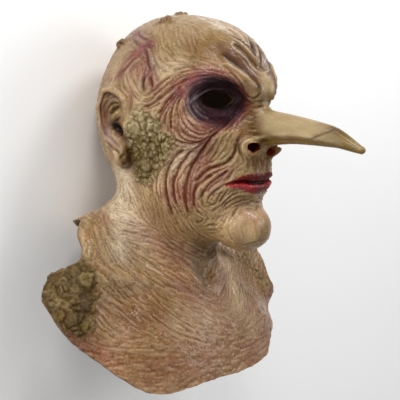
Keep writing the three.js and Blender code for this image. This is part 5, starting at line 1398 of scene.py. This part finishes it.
# dark lid paint around the eye opening, also painted shade that deepens the opening
col = mix(col, TONE["lid_black_and_shade"], 0.95 * patch("198,98 204,94 212,91.5 222,92 230,95 234,101 231,107 224,109 214,108 205,105",
                                         2.2, 0.8, 54, 5.0))
col = mix(col, lin(78, 34, 36), 0.80 * area("206,105.5 211,108 217,108.5", 1.7, wobble=0.1))
col = mix(col, lin(24, 6, 6), ss(0.52, 0.95, seam / 3.2))
# painted shade: brown darkening round the nostrils, under the rims of the nostril wings
col = mix(col, lin(92, 56, 34), 0.75 * np.clip(nostril_shade_w, 0, 1))
col = mix(col, np.where((X_ < 0)[:, None], lin(150, 70, 50), lin(112, 56, 36)), ss(0.30, 0.95, nostril))

# painted shade: colour darkened where the surface is closed in by the form around it
col = col * (0.62 + 0.38 * ss(0.25, 0.85, open_))[:, None]
tint = 1 - (1 - np.array([0.85, 0.80, 0.775])) * (1 - 0.75 * pit)[:, None]
# painted light: surfaces low on the mask that face picture left are lightened, and the colour is made darker toward the
# crown
painted_left_light = ss(0.15, -0.35, N @ (RIGHT + 0.15 * UP)) * (Z_ < 60) * (1 - crust_all)
col = col * tint * (1 + 0.22 * painted_left_light)[:, None] * (1 - 0.17 * ss(140, 170, Z_))[:, None]
lum = col.mean(1, keepdims=True)
dim_w = 0.62 * ss(0.17, 0.05, lum) * (1 - 0.85 * pit)[:, None] * (1 - 0.8 * np.clip(nostril, 0, 1))[:, None]
col = lum + (col - lum) * (1 + 0.65 * dim_w)
col = np.clip(col * (1 + 0.12 * c3 + 0.075 * L3)[:, None], 0.003, 1)
rough = np.clip(0.30 + 0.08 * c2 + 0.12 * crust_all - 0.03 * nosem - 0.04 * lipm + 0.14 * pit, 0.22, 0.8)
gloss = (0.14 + 0.76 * ss(0.18, 0.75, open_)) * (1 - 0.62 * pit) * (1 - 0.85 * np.clip(nostril * 1.4, 0, 1)) * (1 - 0.55 * core)
gloss = gloss * (1 - 0.55 * patch("190,40 210,40 228,50 236,62 224,66 205,62 190,56", 6.0, 2.0, 64, 10.0))
gloss = gloss * (1 - 0.5 * np.clip(crust_dark * crust_all, 0, 1)) * (1 - 0.45 * lipm * (Z_ > 26)) * (1 - 0.45 * bib_crust)
dull = np.maximum(area("246,108 254,120 256,132", 9.0), area("256,156 263,166 268,173", 8.0))
gloss = gloss * (1 - 0.65 * np.maximum(dull, area("206,250 216,252 227,254", 9.0)))
fleck = 1.0 - 0.70 * nosem - 0.55 * lipm
lap("paint")


# ---------------------------------------------------------------- cutting, inside, rim
def largest(P_, T_, extra):
    lab = np.arange(len(P_))
    E = np.vstack([T_[:, [0, 1]], T_[:, [1, 2]], T_[:, [2, 0]]])
    while True:
        m = np.minimum(lab[E[:, 0]], lab[E[:, 1]])
        new = lab.copy()
        np.minimum.at(new, E[:, 0], m)
        np.minimum.at(new, E[:, 1], m)
        np.minimum.at(new, lab[E[:, 0]], m)
        np.minimum.at(new, lab[E[:, 1]], m)
        new = new[new]
        if (new == lab).all():
            break
        lab = new
    t = lab[T_[:, 0]]
    ids, cnt = np.unique(t, return_counts=True)
    return compact(P_, T_[t == ids[cnt.argmax()]], extra)


A = P2[T]
flip = (np.cross(A[:, 1] - A[:, 0], A[:, 2] - A[:, 0]) * N[T[:, 0]]).sum() < 0
if flip:
    T = T[:, ::-1]
PO, TO, EX = P2, T, [col, rough, gloss, fleck]
PO, TO, EX = clip_mesh(PO, TO, trim(PO), EX, trim, 0.3)
PO, TO, EX = clip_mesh(PO, TO, almond(PO), EX, almond, 0.3)
PO, TO, EX = largest(PO, TO, EX)
lap(f"cut: {len(TO)} triangles")

IX = lines([(-216, -40, 6.0), (-40, 40, 4.6), (40, 216, 6.0)])
IY = lines([(-116, 60, 6.0), (60, 240, 4.6)])
IZ = lines([(-212, 40, 6.0), (40, 130, 4.8), (130, 216, 6.4)])
PI, QI, _, _ = net(inside, IX, IY, IZ, lambda C: rough_trim(C) - 8, block=6)
TI = tris_of(PI, QI)
_, gi = grad(inside, PI, 0.2)
A = PI[TI]
if (np.cross(A[:, 1] - A[:, 0], A[:, 2] - A[:, 0]) * gi[TI[:, 0]]).sum() > 0:
    TI = TI[:, ::-1]
PI[:, 1] = np.maximum(PI[:, 1], REST_Y + WALL)
PI, TI, _ = clip_mesh(PI, TI, trim(PI), [], trim, 1.0)
PI, TI, _ = clip_mesh(PI, TI, almond(PI), [], almond, 0.8)
PI, TI, _ = largest(PI, TI, [])
lap(f"inside: {len(TI)} triangles")

loops_o, loops_i = loops_of(TO), loops_of(TI)
lap(f"loops {[len(l) for l in loops_o][:6]} {[len(l) for l in loops_i][:6]}")
n_o = len(PO)
V_ALL = np.vstack([PO, PI])
band = []
free = [[v + n_o for v in l] for l in loops_i]
for lo_ in loops_o[:3]:
    c = V_ALL[lo_].mean(0)
    k = int(np.argmin([np.linalg.norm(V_ALL[l].mean(0) - c) + abs(len(l) * 5 - len(lo_) * 1.5) * 0.01 for l in free[:3]]))
    li = free[k]
    band += stitch(V_ALL, list(lo_), list(reversed(li)))
T_ALL = np.vstack([TO, TI + n_o, np.array(band, int)])
raw_tone = TONE["raw"][None] * (1 + 0.12 * clouds(PI, 22.0, 301) + 0.06 * clouds(PI, 7.0, 302))[:, None]
C_ALL = np.vstack([EX[0], raw_tone])
R_ALL = np.concatenate([EX[1], np.full(len(PI), 0.6)])
G_ALL = np.concatenate([EX[2], np.full(len(PI), 0.5)])
F_ALL = np.concatenate([EX[3], np.full(len(PI), 0.6)])


def new_mesh(name, verts, tris):
    me = bpy.data.meshes.new(name)
    me.vertices.add(len(verts))
    me.vertices.foreach_set("co", np.ascontiguousarray(verts, np.float32).ravel())
    me.loops.add(len(tris) * 3)
    me.loops.foreach_set("vertex_index", np.ascontiguousarray(tris, np.int32).ravel())
    me.polygons.add(len(tris))
    me.polygons.foreach_set("loop_start", np.arange(0, len(tris) * 3, 3, dtype=np.int32))
    me.polygons.foreach_set("loop_total", np.full(len(tris), 3, np.int32))
    me.update(calc_edges=True)
    me.validate()
    return me


mesh = new_mesh("mask_skin", to_row(V_ALL), T_ALL)
a = mesh.attributes.new("Paint", "FLOAT_COLOR", "POINT")
a.data.foreach_set("color", np.hstack([C_ALL, np.ones((len(C_ALL), 1))]).astype(np.float32).ravel())
a = mesh.attributes.new("Rough", "FLOAT", "POINT")
a.data.foreach_set("value", R_ALL.astype(np.float32))
a = mesh.attributes.new("Gloss", "FLOAT", "POINT")
a.data.foreach_set("value", G_ALL.astype(np.float32))
a = mesh.attributes.new("Fleck", "FLOAT", "POINT")
a.data.foreach_set("value", F_ALL.astype(np.float32))
mask = bpy.data.objects.new("latex_mask", mesh)
bpy.context.scene.collection.objects.link(mask)
if len(T_ALL) > TARGET:
    mod = mask.modifiers.new("thin", "DECIMATE")
    mod.decimate_type = "COLLAPSE"
    mod.ratio = TARGET / len(T_ALL)
    mod.use_collapse_triangulate = True
    dg = bpy.context.evaluated_depsgraph_get()
    done = bpy.data.meshes.new_from_object(mask.evaluated_get(dg), preserve_all_data_layers=True, depsgraph=dg)
    mask.modifiers.clear()
    mask.data = done
    bpy.data.meshes.remove(mesh)
    mesh = done
    mesh.name = "mask_skin"
lap(f"mesh: {len(mesh.polygons)} faces")
import bmesh

bm = bmesh.new()
bm.from_mesh(mesh)
filled = 0
for turn in range(5):
    for _ in range(4):
        odd = [e for e in bm.edges if len(e.link_faces) > 2]
        if not odd:
            break
        gone = set()
        for e in odd:
            for f in sorted(e.link_faces, key=lambda f: f.calc_area())[:len(e.link_faces) - 2]:
                gone.add(f)
        bmesh.ops.delete(bm, geom=sorted(gone, key=lambda f: f.index), context="FACES")
    loose = [e for e in bm.edges if not e.link_faces]
    if loose:
        bmesh.ops.delete(bm, geom=loose, context="EDGES")
    open_edges = [e for e in bm.edges if len(e.link_faces) == 1]
    if not open_edges:
        break
    if turn:
        # what couldn't be filled is opened one ring wider and filled again
        bm.faces.index_update()
        ring_faces = {f for e in open_edges for v in e.verts for f in v.link_faces}
        bmesh.ops.delete(bm, geom=sorted(ring_faces, key=lambda f: f.index), context="FACES")
        open_edges = [e for e in bm.edges if len(e.link_faces) == 1]
    filled += len(open_edges)
    bmesh.ops.holes_fill(bm, edges=open_edges, sides=0)
    bmesh.ops.triangulate(bm, faces=[f for f in bm.faces if len(f.verts) > 3])
    bm.faces.index_update()
odd = [e for e in bm.edges if len(e.link_faces) != 2]
lap(f"edges filled {filled}, edges left without two faces {len(odd)}")
bm.to_mesh(mesh)
bm.free()
mesh.polygons.foreach_set("use_smooth", np.ones(len(mesh.polygons), bool))
mesh.set_sharp_from_angle(angle=math.radians(72))
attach(mask, "root")
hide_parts("mask_shell")


# ---------------------------------------------------------------- material
def node(tree, kind, **kw):
    n = tree.nodes.new(kind)
    for k, v in kw.items():
        if k in n.inputs:
            n.inputs[k].default_value = v
        else:
            setattr(n, k, v)
    return n


mat = bpy.data.materials.new("painted_latex")
mat.use_nodes = True
tr = mat.node_tree
bsdf = tr.nodes["Principled BSDF"]
L = tr.links.new
paint_n = node(tr, "ShaderNodeAttribute", attribute_name="Paint")
rough_n = node(tr, "ShaderNodeAttribute", attribute_name="Rough")
gloss_n = node(tr, "ShaderNodeAttribute", attribute_name="Gloss")
fleck_n = node(tr, "ShaderNodeAttribute", attribute_name="Fleck")
where = node(tr, "ShaderNodeTexCoord")
speck = node(tr, "ShaderNodeTexNoise", Scale=420.0, Detail=4.0, Roughness=0.6)
blot = node(tr, "ShaderNodeTexNoise", Scale=95.0, Detail=3.0, Roughness=0.55)
pore = node(tr, "ShaderNodeTexNoise", Scale=1100.0, Detail=3.0, Roughness=0.6)
for n in (speck, blot, pore):
    L(where.outputs["Object"], n.inputs["Vector"])
r1 = node(tr, "ShaderNodeMapRange")
r1.inputs["From Min"].default_value, r1.inputs["From Max"].default_value = 0.3, 0.7
r1.inputs["To Min"].default_value, r1.inputs["To Max"].default_value = 0.86, 1.10
L(speck.outputs["Fac"], r1.inputs["Value"])
r2 = node(tr, "ShaderNodeMapRange")
r2.inputs["From Min"].default_value, r2.inputs["From Max"].default_value = 0.3, 0.7
r2.inputs["To Min"].default_value, r2.inputs["To Max"].default_value = 0.92, 1.06
L(blot.outputs["Fac"], r2.inputs["Value"])
m1 = node(tr, "ShaderNodeMath", operation="MULTIPLY")
L(r1.outputs[0], m1.inputs[0])
L(r2.outputs[0], m1.inputs[1])
m5 = node(tr, "ShaderNodeMath", operation="SUBTRACT")
L(m1.outputs[0], m5.inputs[0])
m5.inputs[1].default_value = 1.0
m6 = node(tr, "ShaderNodeMath", operation="MULTIPLY_ADD")
L(m5.outputs[0], m6.inputs[0])
L(fleck_n.outputs["Fac"], m6.inputs[1])
m6.inputs[2].default_value = 1.0
m2 = node(tr, "ShaderNodeVectorMath", operation="SCALE")
L(paint_n.outputs["Color"], m2.inputs[0])
L(m6.outputs[0], m2.inputs["Scale"])
m7 = node(tr, "ShaderNodeMath", operation="MULTIPLY")
L(gloss_n.outputs["Fac"], m7.inputs[0])
m7.inputs[1].default_value = 0.42
L(m7.outputs[0], bsdf.inputs["Specular IOR Level"])
L(m2.outputs[0], bsdf.inputs["Base Color"])
m3 = node(tr, "ShaderNodeMath", operation="MULTIPLY_ADD")
L(speck.outputs["Fac"], m3.inputs[0])
m3.inputs[1].default_value = 0.16
L(rough_n.outputs["Fac"], m3.inputs[2])
m4 = node(tr, "ShaderNodeMath", operation="SUBTRACT")
L(m3.outputs[0], m4.inputs[0])
m4.inputs[1].default_value = 0.08
L(m4.outputs[0], bsdf.inputs["Roughness"])
b1 = node(tr, "ShaderNodeBump")
b1.inputs["Strength"].default_value = 0.35
b1.inputs["Distance"].default_value = 0.0005
L(speck.outputs["Fac"], b1.inputs["Height"])
b2 = node(tr, "ShaderNodeBump")
b2.inputs["Strength"].default_value = 0.25
b2.inputs["Distance"].default_value = 0.0002
L(pore.outputs["Fac"], b2.inputs["Height"])
L(b1.outputs[0], b2.inputs["Normal"])
L(b2.outputs[0], bsdf.inputs["Normal"])
bsdf.inputs["IOR"].default_value = 1.5
mask.data.materials.clear()
mask.data.materials.append(mat)

# ---------------------------------------------------------------- floor, light, camera
fm = bpy.data.meshes.new("floor")
fm.from_pydata([(-6, -6, 0), (6, -6, 0), (6, 6, 0), (-6, 6, 0)], [], [(0, 1, 2, 3)])
floor = bpy.data.objects.new("floor", fm)
bpy.context.scene.collection.objects.link(floor)
fmat = bpy.data.materials.new("pale_floor")
fmat.use_nodes = True
fb = fmat.node_tree.nodes["Principled BSDF"]
fb.inputs["Base Color"].default_value = (0.94, 0.94, 0.94, 1)
fb.inputs["Roughness"].default_value = 0.9
fb.inputs["Specular IOR Level"].default_value = 0.1
fm.materials.append(fmat)

aim = Vector(to_row(AIM))


def soft(name, where_, size, power, color=(1, 1, 1)):
    d = unit(np.array(where_[0]) * 1.0)
    d_mask = d[0] * RIGHT + d[1] * UP + d[2] * VIEW
    pos = aim + Vector(turn_row(unit(d_mask))) * where_[1]
    lamp = bpy.data.lights.new(name, "AREA")
    lamp.shape, lamp.size, lamp.energy, lamp.color = "DISK", size, power, color
    o = bpy.data.objects.new(name, lamp)
    bpy.context.scene.collection.objects.link(o)
    o.location = pos
    o.rotation_mode = "QUATERNION"
    o.rotation_quaternion = (aim - pos).to_track_quat("-Z", "Y")
    return o


# directions are (picture right, picture up, toward the camera)
soft("key", ((0.06, 0.80, 0.62), 1.7), 0.50, 12.0)
soft("top", ((0.60, 0.78, 0.05), 1.6), 0.50, 9.5)
soft("rim", ((0.97, 0.22, 0.02), 1.6), 0.7, 5.0)
soft("fill", ((-0.38, 0.30, 0.86), 1.7), 0.45, 8.5)

world = bpy.data.worlds.new("studio")
bpy.context.scene.world = world
world.use_nodes = True
world.node_tree.nodes["Background"].inputs[0].default_value = (1.0, 1.0, 1.0, 1)
world.node_tree.nodes["Background"].inputs[1].default_value = 0.46

cam_data = bpy.data.cameras.new("camera")
cam = bpy.data.objects.new("camera", cam_data)
bpy.context.scene.collection.objects.link(cam)
cam_data.sensor_width = 36.0
cam_data.lens = 36.0 / 2 / (200 * PX / FAR)
cam_data.clip_start, cam_data.clip_end = 0.1, 30.0
cam_data.dof.use_dof = False
rr, uu, vv = turn_row(RIGHT), turn_row(UP), turn_row(VIEW)
at = to_row(AIM + VIEW * FAR)
cam.matrix_world = Matrix(((rr[0], uu[0], vv[0], at[0]), (rr[1], uu[1], vv[1], at[1]),
                           (rr[2], uu[2], vv[2], at[2]), (0, 0, 0, 1)))
bpy.context.scene.camera = cam
bpy.context.scene.view_settings.view_transform = "Standard"

bpy.context.view_layer.update()
lap("done")
